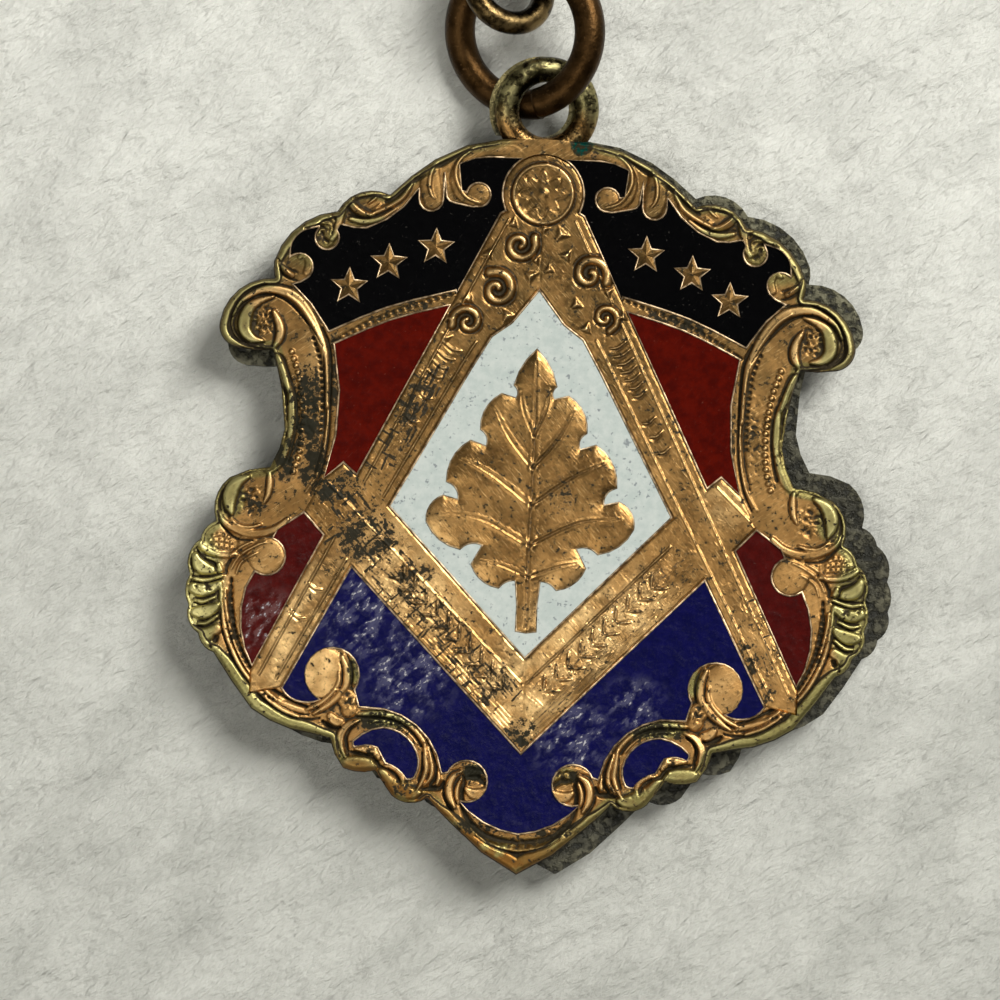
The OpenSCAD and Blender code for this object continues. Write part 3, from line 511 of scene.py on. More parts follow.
def blotches(shape, size):
    """Smooth random ground with blotches this many samples across."""
    coarse = random.standard_normal((shape[0] // size + 3, shape[1] // size + 3))
    rows = np.linspace(0, coarse.shape[0] - 1.001, shape[0])
    columns = np.linspace(0, coarse.shape[1] - 1.001, shape[1])
    i, j = rows.astype(int), columns.astype(int)
    u, v = (rows - i)[:, None], (columns - j)[None]
    top = coarse[np.ix_(i, j)] * (1 - v) + coarse[np.ix_(i, j + 1)] * v
    low = coarse[np.ix_(i + 1, j)] * (1 - v) + coarse[np.ix_(i + 1, j + 1)] * v
    return top * (1 - u) + low * u


def averaged(field, reach):
    """A field averaged over a square, three times, which is close to a round blur."""
    size = 2 * reach + 1
    for _ in range(3):
        for axis in (0, 1):
            padded = np.pad(field, [(reach + 1, reach) if a == axis else (0, 0) for a in (0, 1)], "edge")
            total = np.cumsum(padded, axis=axis)
            ahead = np.take(total, np.arange(size, total.shape[axis]), axis=axis)
            behind = np.take(total, np.arange(0, total.shape[axis] - size), axis=axis)
            field = (ahead - behind) / size
    return field


def sampled(relief, field, x, y):
    """A field's value at any places, between its samples."""
    i = np.clip((y - relief["y"][0]) / pitch, 0, len(relief["y"]) - 1.001)
    j = np.clip((x - relief["x"][0]) / pitch, 0, len(relief["x"]) - 1.001)
    a, b = i.astype(int), j.astype(int)
    u, v = i - a, j - b
    near_row = field[a, b] * (1 - v) + field[a, b + 1] * v
    far_row = field[a + 1, b] * (1 - v) + field[a + 1, b + 1] * v
    return near_row * (1 - u) + far_row * u


def inside(points, loops):
    """Which points lie inside an odd number of the loops."""
    odd = np.zeros(len(points), bool)
    x, y = points.T
    for loop in loops:
        for (x0, y0), (x1, y1) in zip(loop, np.roll(loop, -1, axis=0)):
            if y0 != y1:
                odd ^= ((y < y0) != (y < y1)) & (x < x0 + (y - y0) * (x1 - x0) / (y1 - y0))
    return odd


def nearest_on(points, loops):
    """The nearest place on any loop to each point, and which loop it is on."""
    starts = np.vstack(loops)
    runs = np.vstack([np.roll(loop, -1, axis=0) - loop for loop in loops])
    which = np.concatenate([np.full(len(loop), n) for n, loop in enumerate(loops)])
    away = points[:, None] - starts[None]
    t = np.clip((away * runs).sum(2) / np.maximum((runs**2).sum(1), 1e-12), 0, 1)
    places = starts + t[..., None] * runs
    best = ((points[:, None] - places)**2).sum(2).argmin(1)
    return places[np.arange(len(points)), best], which[best]


def struck_piece(name, loops, straps_in, half, relief, mirrored, finish):
    """A sheet of the plate's face inside the loops, raised to the relief, with walls down to the cells.

    With straps_in and a half it is that half's ground round the straps. With no half it is the straps."""
    corners = np.array([(loop.min(0), loop.max(0)) for loop in loops])
    low = np.maximum(corners[:, 0].min(0), (relief["x"][0], relief["y"][0]))
    high = np.minimum(corners[:, 1].max(0), (relief["x"][-1], relief["y"][-1]))
    if mirrored:
        low[0] = max(half[:, 0].min(), loops[0][:, 0].min())
        high[0] = min(half[:, 0].max(), loops[0][:, 0].max())
    counts = np.ceil((high - low) / mesh_pitch).astype(int)
    bm = bmesh.new()
    bmesh.ops.create_grid(bm, x_segments=int(counts[0]), y_segments=int(counts[1]), size=0.5)
    shape = Matrix.Diagonal((*(high - low), 1, 1))
    bmesh.ops.transform(bm, matrix=Matrix.Translation((*((high + low) / 2), 0)) @ shape, verts=bm.verts)
    middles = np.array([f.calc_center_median().xy for f in bm.faces])
    keep = inside(middles, loops)
    edges = list(loops)
    if straps_in is not None:
        keep &= on_straps(middles) == (half is None)
        edges += straps_in
    if half is not None:
        edges.append(half)
        keep &= inside(middles, [half])
    bmesh.ops.delete(bm, geom=[f for f, kept in zip(bm.faces, keep) if not kept], context="FACES")
    rim = [v for v in bm.verts if v.is_boundary]
    places, which = nearest_on(np.array([v.co.xy for v in rim]), edges)
    for v, (x, y) in zip(rim, places):
        v.co.xy = x, y
    points = np.array([v.co.xy for v in bm.verts])
    across = np.abs(points[:, 0]) if mirrored else points[:, 0]
    for v, z in zip(bm.verts, sampled(relief, relief["z"], across, points[:, 1])):
        v.co.z = z
    for f in bm.faces:
        f.smooth = True
    borders = [e for e in bm.edges if e.is_boundary]
    for e in borders:
        e.smooth = False
    depth = {v: front_back if n == 0 and len(loops) > 1 else cell_floor for v, n in zip(rim, which)}
    made = bmesh.ops.extrude_edge_only(bm, edges=borders)["geom"]
    for g in made:
        if isinstance(g, bmesh.types.BMVert):
            twin = next(e.other_vert(g) for e in g.link_edges if e.other_vert(g) in depth)
            g.co.z = depth[twin]
        elif isinstance(g, bmesh.types.BMFace):
            g.smooth = True
    bmesh.ops.recalc_face_normals(bm, faces=bm.faces)
    if sum(f.normal.z for f in bm.faces) < 0:
        bmesh.ops.reverse_faces(bm, faces=bm.faces)
    piece = placed(name, bm, finish)
    points = np.array([v.co for v in piece.data.vertices]) / mm
    across = np.abs(points[:, 0]) if mirrored else points[:, 0]
    level = relief["z"]
    hollow = sampled(relief, 2 * level - averaged(level, 7) - averaged(level, 2), across, points[:, 1])
    marked(piece, "hollow", hollow)
    marked(piece, "brass", sampled(relief, averaged(relief["brass"], 3), across, points[:, 1]))
    marked(piece, "dirt", sampled(relief, relief["dirt"], across, points[:, 1]))
    for key, patches in (("stain", stains), ("polish_and_highlight", polished_and_highlit)):
        marked(piece, key, mapped(points[:, 0], points[:, 1], patches))


def placed(name, bm, finish):
    """A piece made of a mesh drawn in millimetres."""
    bmesh.ops.scale(bm, vec=(mm, mm, mm), verts=bm.verts)
    mesh = bpy.data.meshes.new(name)
    bm.to_mesh(mesh)
    bm.free()
    mesh.materials.append(finish)
    piece = bpy.data.objects.new(name, mesh)
    bpy.context.collection.objects.link(piece)
    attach(piece, "root")
    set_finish(piece, "rose_gold")
    return piece


def marked(piece, name, values):
    """A value from 0 to 1 at each point of a piece, for its material."""
    field = piece.data.attributes.new(name, "FLOAT", "POINT")
    field.data.foreach_set("value", np.asarray(values, dtype=np.float32))


# The values that the plating's material reads at each point of a piece
mask_names = ("hollow", "brass", "dirt", "stain", "polish_and_highlight")
# Dark, greenish stains on the plating: across (less than 0 on the left), up, half width, half height, depth
stains = [
    (-8.6, 3.0, 0.9, 2.4, 1.0), (-8.2, 1.0, 0.9, 1.4, 0.8), (-7.6, 4.4, 0.3, 2.6, 0.8),
    (-9.25, 1.3, 0.6, 1.3, 0.95), (-7.6, 0.1, 1.0, 0.9, 0.9), (7.5, 3.2, 0.15, 2.8, 0.6),
    (-7.0, 0.2, 1.0, 0.9, 0.8), (-6.0, -1.6, 1.9, 1.5, 0.66), (-4.2, -3.4, 1.6, 1.4, 0.52),
    (-4.9, 3.0, 0.8, 2.4, 0.5), (-4.2, 4.6, 0.7, 1.2, 0.3), (-10.3, -0.6, 0.7, 0.7, 0.6),
    (5.5, 6.9, 2.7, 0.9, 0.6), (-5.5, 6.9, 2.7, 0.9, 0.6), (0.0, -8.8, 0.9, 0.8, 0.8),
    (-1.2, -12.3, 1.6, 0.6, 0.7), (1.2, -12.3, 1.6, 0.6, 0.6), (-5.0, -8.6, 1.7, 0.7, 0.95),
    (5.0, -8.6, 1.6, 0.6, 0.8), (8.3, -5.6, 0.8, 1.1, 0.6), (9.0, -6.9, 0.8, 0.7, 0.5),
    (1.9, -10.3, 0.6, 0.4, 0.6), (-1.7, -10.3, 0.9, 0.6, 0.95), (1.9, 13.0, 0.3, 0.3, 0.5),
    (3.3, -10.9, 0.4, 0.5, 0.7), (-3.3, -10.9, 0.4, 0.5, 0.7), (-4.4, -11.0, 0.7, 0.5, 0.5),
    (-6.4, -6.6, 0.35, 0.9, 0.7), (6.4, -6.6, 0.35, 0.9, 0.5), (0.3, -4.1, 0.9, 0.5, 0.5),
    (1.1, 0.2, 0.8, 1.2, 0.4)]
# Where the plating is lightened, partly polished by wear and partly a painted reflection of the light, in
# rows as above
polished_and_highlit = [
    (-7.67, -6.7, 1.2, 1.3, 1.4), (7.3, -7.0, 1.1, 1.2, 0.35), (0.0, -7.4, 3.4, 2.6, 1.1),
    (-9.0, -5.0, 2.2, 3.4, 1.1), (3.0, -4.8, 3.6, 3.0, 1.1), (-4.6, -3.2, 3.4, 3.2, 0.8),
    (8.7, -4.6, 1.8, 3.4, 0.1), (-12.2, -3.8, 1.3, 3.4, 1.3), (12.2, -3.8, 1.0, 3.0, 0.3),
    (-9.8, -8.0, 2.4, 1.0, 0.5), (-8.2, 5.0, 0.8, 2.4, 0.3), (7.2, 0.2, 1.2, 1.2, 0.4)]


def mapped(x, y, patches):
    """The deepest of some patches at each place."""
    depth = np.zeros(len(x))
    for patch in patches:
        depth = np.maximum(depth, patch[4] * within(x, y, patch))
    return depth


rose = (0.32, 0.168, 0.053, 1)
rose_pale = (0.5, 0.276, 0.092, 1)
tarnish = (0.11, 0.068, 0.024, 1)
brass_worn = (0.235, 0.21, 0.072, 1)
# The two bright tones are partly rubbed, polished metal and partly a painted highlight, where light catches
# crests, scratches and polished places.
crest_wear_and_highlight = (0.9, 0.6, 0.26, 1)
brass_wear_and_highlight = (0.68, 0.61, 0.26, 1)
amber = (0.2, 0.075, 0.012, 1)
grime = (0.03, 0.022, 0.011, 1)
stain_green = (0.016, 0.015, 0.008, 1)
verdigris = (0.002, 0.04, 0.03, 1)
crust_at = (1.36 * mm, 13.42 * mm, 2.2 * mm)


def crusted(tree, place, skin, fine, blots):
    """The skin with a crust of verdigris at the bail's right foot."""
    away = add_node(tree, "VectorMath", {"operation": "DISTANCE"}, place, crust_at).outputs["Value"]
    green = combined(tree, graded(tree, away, 0.1 * mm, 0.75 * mm, 1, 0), combined(tree, fine, blots))
    crust = blended(tree, graded(tree, fine, 0.44, 0.58), verdigris, grime)
    return blended(tree, graded(tree, green, 0.07, 0.12), skin, crust)


def worn_plating(name, scratch_turn, shine):
    """Rose-gold plating over brass, worn and given a painted highlight on the crests, black in the
    hollows, stained and scratched, and darkened towards the top with painted shade.
    """
    material, tree, shader, place = new_finish(name)
    masks = {key: add_node(tree, "Attribute", {"attribute_name": key}).outputs["Fac"]
             for key in mask_names}
    wide = grain(tree, place, 2.2 * mm, 4)
    fine = grain(tree, place, 0.2 * mm, 8)
    blots = grain(tree, place, 0.8 * mm, 9)
    scratches = grain(tree, place, 0.05 * mm, 2, (scratch_turn, 9))
    split = add_node(tree, "SeparateXYZ", {}, place)
    up = split.outputs["Y"]
    metal = blended(tree, graded(tree, wide, 0.35, 0.65), rose, rose_pale)
    metal = blended(tree, graded(tree, masks["brass"], 0.1, 0.6), metal, brass_worn)
    # Painted shade, mixed with blotches of real tarnish: the metal darkens towards the top of the fob.
    painted_shade_up = graded(tree, up, -8 * mm, 9 * mm, 0.12, 0.7)
    tarnish_and_painted_shade = combined(tree, painted_shade_up, graded(tree, blots, 0.3, 0.7, 0.6, 1.4))
    metal = blended(tree, tarnish_and_painted_shade, metal, tarnish)
    metal = blended(tree, graded(tree, fine, 0.45, 0.7, 0, 0.6), metal, tarnish)
    wear_and_highlight_tone = blended(tree, graded(tree, masks["brass"], 0.1, 0.6), crest_wear_and_highlight, brass_wear_and_highlight)
    # Painted reflection over real polish: these patches lighten the metal towards the bright tone.
    polish_and_highlight = combined(tree, masks["polish_and_highlight"], graded(tree, blots, 0.36, 0.62, 0.1, 0.95))
    metal = blended(tree, combined(tree, polish_and_highlight, graded(tree, fine, 0.42, 0.66, 1.0, 0.2)), metal, wear_and_highlight_tone)
    # Painted highlight, partly real wear: scratches, and crests that stand above the ground round them, are
    # lightened towards the bright tone.
    metal = blended(tree, graded(tree, scratches, 0.56, 0.74, 0, 0.35), metal, wear_and_highlight_tone)
    metal = blended(tree, graded(tree, masks["hollow"], 0.04, 0.16, 0.0, 0.5), metal, wear_and_highlight_tone)
    at_the_point = graded(tree, up, -10.8 * mm, -8.6 * mm, 0.85, 0)
    lacquer = combined(tree, at_the_point, graded(tree, blots, 0.34, 0.5, 0.2, 1))
    lacquer = combined(tree, lacquer, graded(tree, split.outputs["X"], -1 * mm, 4 * mm, 1, 0.2))
    metal = blended(tree, combined(tree, lacquer, masks["brass"]), metal, amber)
    hollow = graded(tree, masks["hollow"], -0.12, -0.025, 0.75, 0.0)
    dirty = combined(tree, masks["dirt"], hollow, "MAXIMUM")
    dirty = combined(tree, dirty, graded(tree, fine, 0.3, 0.7, 1.3, 0.55))
    patches = combined(tree, masks["stain"], graded(tree, blots, 0.38, 0.62, 1.35, 0.35))
    patches = combined(tree, patches, graded(tree, fine, 0.36, 0.6, 1.4, 0.6))
    pits = combined(tree, graded(tree, fine, 0.56, 0.66), graded(tree, blots, 0.42, 0.58, 0.25, 0.85))
    dirty = combined(tree, dirty, patches, "MAXIMUM")
    soiled = graded(tree, combined(tree, dirty, pits, "MAXIMUM"), 0.3, 0.62)
    skin = blended(tree, soiled, metal, blended(tree, masks["stain"], grime, stain_green))
    rough = graded(tree, wide, 0.3, 0.7, shine, shine + 0.12)
    rough = combined(tree, rough, graded(tree, soiled, 0, 1, 0, 0.25), "ADD")
    skin = crusted(tree, place, skin, fine, blots)
    finished(tree, shader, skin, graded(tree, soiled, 0, 1, 1.0, 0.3), rough)
    fill(tree, shader, [("Specular IOR Level", graded(tree, soiled, 0, 1, 0.5, 0.15))])
    bumped(tree, shader, scratches, 0.008 * mm)
    bumped(tree, shader, fine, 0.016 * mm)
    return material


plate_finish = worn_plating("rose_gold_border", 0.6, 0.4)

turned = flat_loops("back_plate", -1)[0] - (0, pin_up)
back_turn = np.array([[math.cos(slip), math.sin(slip)], [-math.sin(slip), math.cos(slip)]])
outline = turned @ back_turn.T + (0, pin_up)
enamel_nodes = [name for name in frame["nodes"] if name.startswith("enamel_")]
cell_loops = {name: flat_loops(name, 1) for name in enamel_nodes}

border = blank_relief((-0.3, -14.5), (13.2, 14.0))
x_all, y_all = border["x"][None], border["y"][:, None]
from_edge = edge_distance(border, outline)
for height, rows in bands:
    raise_band(border, height, rows)
for out, up, radius, height in discs:
    apart = np.hypot(x_all - out, y_all - up) / radius
    disc = ground + (0.05 + height * np.sqrt(np.clip(1 - apart**2, 0, 1))) * (apart < 1)
    border["z"] = np.maximum(border["z"], disc)
pull = [np.exp(-((x_all - out)**2 + (y_all - up)**2) / rim_blend) + 1e-9 for out, up, _ in rim_widths]
rim_width = sum(p * row[2] for p, row in zip(pull, rim_widths)) / sum(pull)
in_rim = np.clip(np.abs(2 * from_edge / rim_width - 1), 0, 1)
border["z"] = np.maximum(border["z"], ground + rim_rise * np.sqrt(1 - in_rim**6))
border["dirt"] = np.clip(1.4 - np.abs(from_edge - rim_width) / 0.045, 0, 1) * (rim_width > 0.13)
border["brass"] = 1.0 * (from_edge < np.maximum(rim_width, 0.3))
for height, rows in crests:
    raise_crest(border, height, rows)
for depth, rows in grooves:
    cut_groove(border, depth, rows)
for height, radius, step, places in bead_rows:
    row = smooth_path(places)
    run = np.concatenate([[0], np.cumsum(np.hypot(*np.diff(row, axis=0).T))])
    at = np.arange(0, run[-1], step)
    for out, up in zip(np.interp(at, run, row[:, 0]), np.interp(at, run, row[:, 1])):
        bead = np.clip(1 - ((x_all - out)**2 + (y_all - up)**2) / radius**2, 0, 1)
        border["z"] += height * np.sqrt(bead)
        border["dirt"] = np.where(bead > 0.2, height < 0, border["dirt"])
rolled = 1 - np.clip(from_edge / edge_in, 0, 1)
border["z"] -= edge_down * (1 - np.sqrt(1 - rolled**2))
speckle = blotches(border["z"].shape, 3)
border["z"] += 0.006 * blotches(border["z"].shape, 16)
for patch in pitted:
    rough = within(x_all, y_all, patch)
    border["z"] -= 0.6 * patch[4] * rough * np.clip(speckle, -0.4, 1.2)
    border["dirt"] = np.maximum(border["dirt"], rough * np.clip(0.25 + 0.7 * speckle, 0, 1))
neck = within(x_all, y_all, (0, 13.25, 2.2, 1.4))
border["z"] += neck * (ground + 0.12 - border["z"])
border["dirt"] = border["dirt"] * (1 - neck)
border["brass"] = border["brass"] * (1 - neck)
for patch in brassy:
    border["brass"] = np.maximum(border["brass"], within(x_all, y_all, patch))

# The straps are flat bands soldered across the field: the long pair meets in the head, the short pair in a
# point below. They are chased with rails, curls and a wheat-ear pattern.
long_strap = [
    (0, 11.5), (1.55, 10.7), (10.3, -6.85), (10.3, -7.7), (9.1, -7.4),
    (6.65, -2.7), (5.35, -0.45), (2.5, 4.8), (1.75, 6.1), (1.0, 6.65), (0, 7.95)]
short_strap = [(0, -6.0), (5.35, -0.45), (7.1, 1.1), (7.9, 0.4), (8.5, -0.75), (6.65, -2.7), (0, -9.5)]
head_at, head_radius, boss_radius = (0, 11.5), 1.5, 1.2


def on_the_left(rows):
    return [(-row[0], *row[1:]) for row in rows]


circle = np.linspace(0, 2 * math.pi, 64, endpoint=False)
head_loop = np.column_stack([head_radius * np.cos(circle), head_at[1] + head_radius * np.sin(circle)])
strap_loops = [np.array(rows, float) for rows in
               (long_strap, on_the_left(long_strap), short_strap, on_the_left(short_strap))] + [head_loop]


def on_straps(points):
    return np.any([inside(points, [loop]) for loop in strap_loops], axis=0)


# Raised rails along the straps: across (less than 0 on the left), up and width
rails = [
    [(1.25, 10.5, 0.1), (9.95, -6.95, 0.1)], [(2.3, 5.85, 0.1), (2.85, 4.9, 0.1), (9.35, -7.2, 0.1)],
    [(-1.25, 10.5, 0.1), (-6.3, 0.4, 0.1)], [(-2.3, 5.85, 0.1), (-2.85, 4.9, 0.1), (-5.55, -0.1, 0.1)],
    [(-7.3, -1.65, 0.1), (-9.95, -6.95, 0.1)], [(-6.85, -2.5, 0.1), (-9.3, -7.1, 0.1)],
    [(-7.65, 0.35, 0.1), (-0.1, -6.9, 0.1)], [(0.1, -6.9, 0.1), (5.3, -1.55, 0.1)],
    [(6.95, 0.75, 0.1), (8.25, -0.5, 0.1)]]
# Wound curls: across, up, radius and the angle at which each starts
curls = [
    (-0.8, 9.57, 0.66, 0.5), (-1.6, 7.86, 0.74, 2.0), (-2.64, 6.6, 0.64, 3.4), (1.88, 8.55, 0.74, -0.4),
    (2.51, 6.95, 0.56, -1.2)]
# Small three-sided pyramids cut between the curls: across, up, half width and turn
pyramids = [
    (-1.09, 10.35, 0.15, 0.3), (0.1, 10.2, 0.13, 1.3), (0.73, 10.0, 0.2, 0.9), (-1.99, 9.15, 0.16, 0.1),
    (0.95, 9.2, 0.17, 2.0), (0.33, 8.67, 0.13, 0.6), (-0.37, 8.4, 0.2, 1.5), (-2.67, 7.46, 0.17, 0.2),
    (-1.18, 6.88, 0.18, 1.1), (1.4, 7.4, 0.16, 0.7), (2.57, 7.9, 0.15, 1.8), (1.8, 6.5, 0.16, 0.2),
    (-3.47, 5.95, 0.18, 1.4), (-3.4, 6.7, 0.12, 0.8), (3.15, 7.0, 0.13, 0.5), (-0.2, 9.0, 0.12, 0.0)]
# Small arcs across the straps, one above the other like rungs: across, up and width
ladder = [
    (3.05, 5.9, 0.7), (3.2, 5.6, 0.7), (3.35, 5.3, 0.66), (3.48, 5.0, 0.62), (3.62, 4.7, 0.58),
    (3.76, 4.4, 0.54), (3.92, 4.1, 0.5), (-3.2, 5.6, 0.8), (-3.4, 5.25, 0.74), (-3.6, 4.9, 0.66),
    (-3.8, 4.55, 0.6), (4.3, 3.1, 0.5), (4.6, 2.6, 0.5), (4.9, 2.0, 0.5), (-4.1, 3.7, 0.5),
    (-4.6, 2.8, 0.5), (-8.0, -3.6, 0.6), (-8.6, -4.7, 0.6)]
curl_turn = 7.6             # how far a curl winds round
ladder_lean = 0.47
ear_step = 0.62
ear_length = 0.62
ear_count = 10
ear_start = 1.1
ear_foot = -7.95            # where the two ears meet, up the middle line
ear_spread = 0.75
strap_round = 0.12

straps = blank_relief((-10.9, -10.2), (10.9, 13.4))
samples = np.stack(np.meshgrid(straps["x"], straps["y"]), axis=-1).reshape(-1, 2)
depth_in = np.zeros(straps["z"].shape)
for loop in strap_loops:
    held = inside(samples, [loop]).reshape(depth_in.shape)
    depth_in = np.maximum(depth_in, held * edge_distance(straps, loop, 0.5))
straps["z"] = face - 0.04 + 0.06 * np.sqrt(1 - (1 - np.clip(depth_in / strap_round, 0, 1))**2)
for rows in rails:
    cut_groove(straps, 0.02, [(x, y, 2.2 * w) for x, y, w in rows], 0.25)
    raise_crest(straps, 0.12, rows)
for across, up, radius, start in curls:
    hand = -1 if across < 0 else 1
    turns = np.linspace(0, 1, 14)
    angle = start + hand * turns * curl_turn
    shrink = radius * (0.94 - 0.8 * turns)
    winding = np.column_stack([across + shrink * np.cos(angle), up + shrink * np.sin(angle),
                               radius * (0.56 - 0.12 * turns)])
    near = nearness(straps, smooth_path(winding))
    straps["z"] -= 0.05 * np.clip(1 - ((near - 1.15) / 0.4)**2, 0, 1)
    straps["dirt"] = np.maximum(straps["dirt"], 0.45 * np.clip(1.6 - near, 0, 1) * (near > 0.95))
    straps["z"] = np.maximum(straps["z"], (near < 1) * (face + 0.02 + 0.17 * (1 - near**2)))
    straps["dirt"] *= near >= 0.95
across_all, up_all = straps["x"][None], straps["y"][:, None]
for across, up, reach, turn in pyramids:
    sides = [(across_all - across) * math.cos(turn + side) + (up_all - up) * math.sin(turn + side)
             for side in (0, 2 * math.pi / 3, 4 * math.pi / 3)]
    straps["z"] += 0.15 * np.clip(1 - np.maximum.reduce(sides) / reach, 0, 1)
for across, up, width in ladder:
    hand = 1 if across > 0 else -1
    tip = (math.cos(ladder_lean) * width / 2 * hand, math.sin(ladder_lean) * width / 2)
    arc = [(across - tip[0], up - tip[1] + 0.06, 0.06), (across, up - 0.04, 0.12),
           (across + tip[0], up + tip[1] + 0.06, 0.06)]
    cut_groove(straps, 0.05, [(x, y - 0.08, w) for x, y, w in arc], 0.6)
    raise_crest(straps, 0.1, arc)
lean = math.atan2(short_strap[1][1] - short_strap[0][1], short_strap[1][0])
for hand in (-1, 1):
    for n in range(ear_count):
        along = ear_start + n * ear_step
        foot = np.array((hand * along * math.cos(lean), ear_foot + along * math.sin(lean)))
        for turn in (-ear_spread, ear_spread):
            way = np.array((hand * math.cos(lean + turn), math.sin(lean + turn)))
            tip = foot + ear_length * way
            grain_of_wheat = [(*foot, 0.06), (*((foot + tip) / 2 + 0.03 * way), 0.18), (*tip, 0.06)]
            cut_groove(straps, 0.05, [(x, y, 1.9 * w) for x, y, w in grain_of_wheat], 0.55)
            raise_crest(straps, 0.18, grain_of_wheat)
# Bands that are hatched by hand with short strokes: from, to, half width, how many, and their dirt
hatched = [
    ((-0.5, -7.6), (-5.6, -2.4), 0.85, 300, 0.75), ((-5.3, -2.5), (-7.3, -0.3), 0.8, 60, 1.0),
    ((0.5, -7.6), (5.6, -2.4), 0.8, 190, 0.5), ((-5.75, 0.7), (-3.75, 4.6), 0.4, 110, 0.95),
    ((8.1, -3.1), (9.6, -6.2), 0.35, 30, 0.7)]
for start, end, reach, count, dirt in hatched:
    run = np.subtract(end, start)
    length = np.hypot(*run)
    forward = run / length
    sideways = np.array((-forward[1], forward[0]))
    for n in range(count):
        foot = start + random.uniform(0, length) * forward + random.uniform(-reach, reach) * sideways
        turn = (0 if n % 3 else math.pi / 2) + random.uniform(-0.12, 0.12)
        tip = foot + random.uniform(0.2, 0.7) * (forward * math.cos(turn) + sideways * math.sin(turn))
        scratch = [(*foot, 0.05), (*tip, 0.08)]
        cut_groove(straps, 0.03, [(x, y, 2 * w) for x, y, w in scratch], dirt * (n % 2))
        raise_crest(straps, 0.07, scratch)
# Fine lines along the outer edge of the short straps
lowest = short_strap[6]
outer = np.subtract(short_strap[5], lowest)
outer /= np.hypot(*outer)
inwards = np.array((-outer[1], outer[0]))
for hand, reach in ((-1, 6.6), (1, 4.8)):
    for n in range(4):
        inset = 0.2 + 0.15 * n
        ends = [lowest + outer * along + inwards * inset for along in (0.6 + inset, reach - 0.6 * n)]
        cut_groove(straps, 0.035, [(hand * x, y, 0.08) for x, y in ends], 0.62)


def round_boss(radius, half_width):
    """1 on a circle of this radius about the boss's middle, falling to 0 at a half width from it."""
    return np.clip(1 - ((from_boss - radius) / half_width)**2, 0, 1)


# The boss stands up in the head, with a channel round it, a rolled edge, a rosette and a knob
boss_rise = 0.16
petal_count = 8
rosette_radius, rosette_wave = 0.72, 0.16
from_boss = np.hypot(across_all - head_at[0], up_all - head_at[1])
petals = np.cos(petal_count * np.arctan2(up_all - head_at[1], across_all - head_at[0]))
straps["z"] = np.where(from_boss < boss_radius, face + boss_rise, straps["z"])
straps["z"] -= 0.06 * round_boss(boss_radius, 0.06)
boss_dirt = 0.5 * np.clip(1.3 - np.abs(from_boss - boss_radius - 0.02) / 0.05, 0, 1)
straps["dirt"] = np.maximum(straps["dirt"], boss_dirt)
straps["z"] += 0.04 * round_boss(boss_radius - 0.1, 0.07)
straps["z"] -= 0.04 * round_boss(rosette_radius + rosette_wave * petals, 0.06)
straps["z"] += 0.05 * round_boss(0, 0.22)
straps["z"] += 0.006 * blotches(straps["z"].shape, 12) + 0.005 * blotches(straps["z"].shape, 5)
strap_finish = worn_plating("rose_gold_straps", 2.3, 0.27)

plate_loops = [outline] + [loops[0] for loops in cell_loops.values()]
right_half = np.array([(0, 15), (14, 15), (14, -15), (0, -15)], float)
for name, half in (("border_right", right_half), ("border_left", right_half * (-1, 1))):
    struck_piece(name, plate_loops, strap_loops, half, border, True, plate_finish)
struck_piece("straps", plate_loops, strap_loops, None, straps, False, strap_finish)

# The leaf stands in the white lozenge. It is part of the same struck and plated brass, domed towards its
# middle, with its veins chased in by hand.
veins = [
    [(0, -4.8, 0.16), (0, -2.0, 0.2), (0.05, 1.5, 0.16), (0, 5.2, 0.08)],
    [(0, 2.4, 0.12), (0.4, 3.3, 0.1), (0.55, 4.1, 0.05)],
    [(0, 1.2, 0.14), (0.9, 2.3, 0.12), (1.5, 3.4, 0.05)],
    [(0, -0.2, 0.14), (1.5, 0.9, 0.12), (2.7, 1.5, 0.05)],
    [(0, -1.7, 0.14), (1.8, -0.8, 0.12), (3.4, -0.6, 0.05)],
    [(0, -2.9, 0.12), (1.0, -2.5, 0.1), (1.8, -2.3, 0.05)]]
leaf_loop = cell_loops["enamel_white"][1]
leaf = blank_relief((-4.3, -5.3), (4.3, 6.0))
from_leaf_edge = np.minimum(edge_distance(leaf, leaf_loop), 1)
leaf["z"][:] = face + 0.02 + 0.12 * np.sqrt(1 - (1 - from_leaf_edge)**2)
for rows in veins:
    for side in ((rows,) if rows is veins[0] else (rows, on_the_left(rows))):
        cut_groove(leaf, 0.06, side, 0.5)
        cut_groove(leaf, -0.03, [(x, y, 3 * w) for x, y, w in side], 0)
leaf["z"] += 0.004 * blotches(leaf["z"].shape, 10)
struck_piece("leaf", [leaf_loop], None, None, leaf, False, strap_finish)

# Three stars stand in each black cell. They are struck with the plate, plated like it and faceted to a
# point in the middle, and the enamel is fired round them.
star_rise = 0.16
for node in ("enamel_black_left", "enamel_black_right"):
    for n, loop in enumerate(cell_loops[node][1:]):
        bm = bmesh.new()
        foot = bm.faces.new([bm.verts.new((x, y, cell_floor)) for x, y in loop])
        raised = bmesh.ops.extrude_face_region(bm, geom=[foot])["geom"]
        top = next(g for g in raised if isinstance(g, bmesh.types.BMFace))
        bmesh.ops.translate(bm, vec=(0, 0, face + 0.02 - cell_floor), verts=top.verts)
        point = bmesh.ops.poke(bm, faces=[top])["verts"][0]
        point.co = (*loop.mean(0), face + star_rise)
        bmesh.ops.recalc_face_normals(bm, faces=bm.faces)
        star = placed(node.replace("enamel_black", "star") + "_" + str(n + 1), bm, plate_finish)
        for key in mask_names:
            marked(star, key, np.zeros(len(star.data.vertices)))

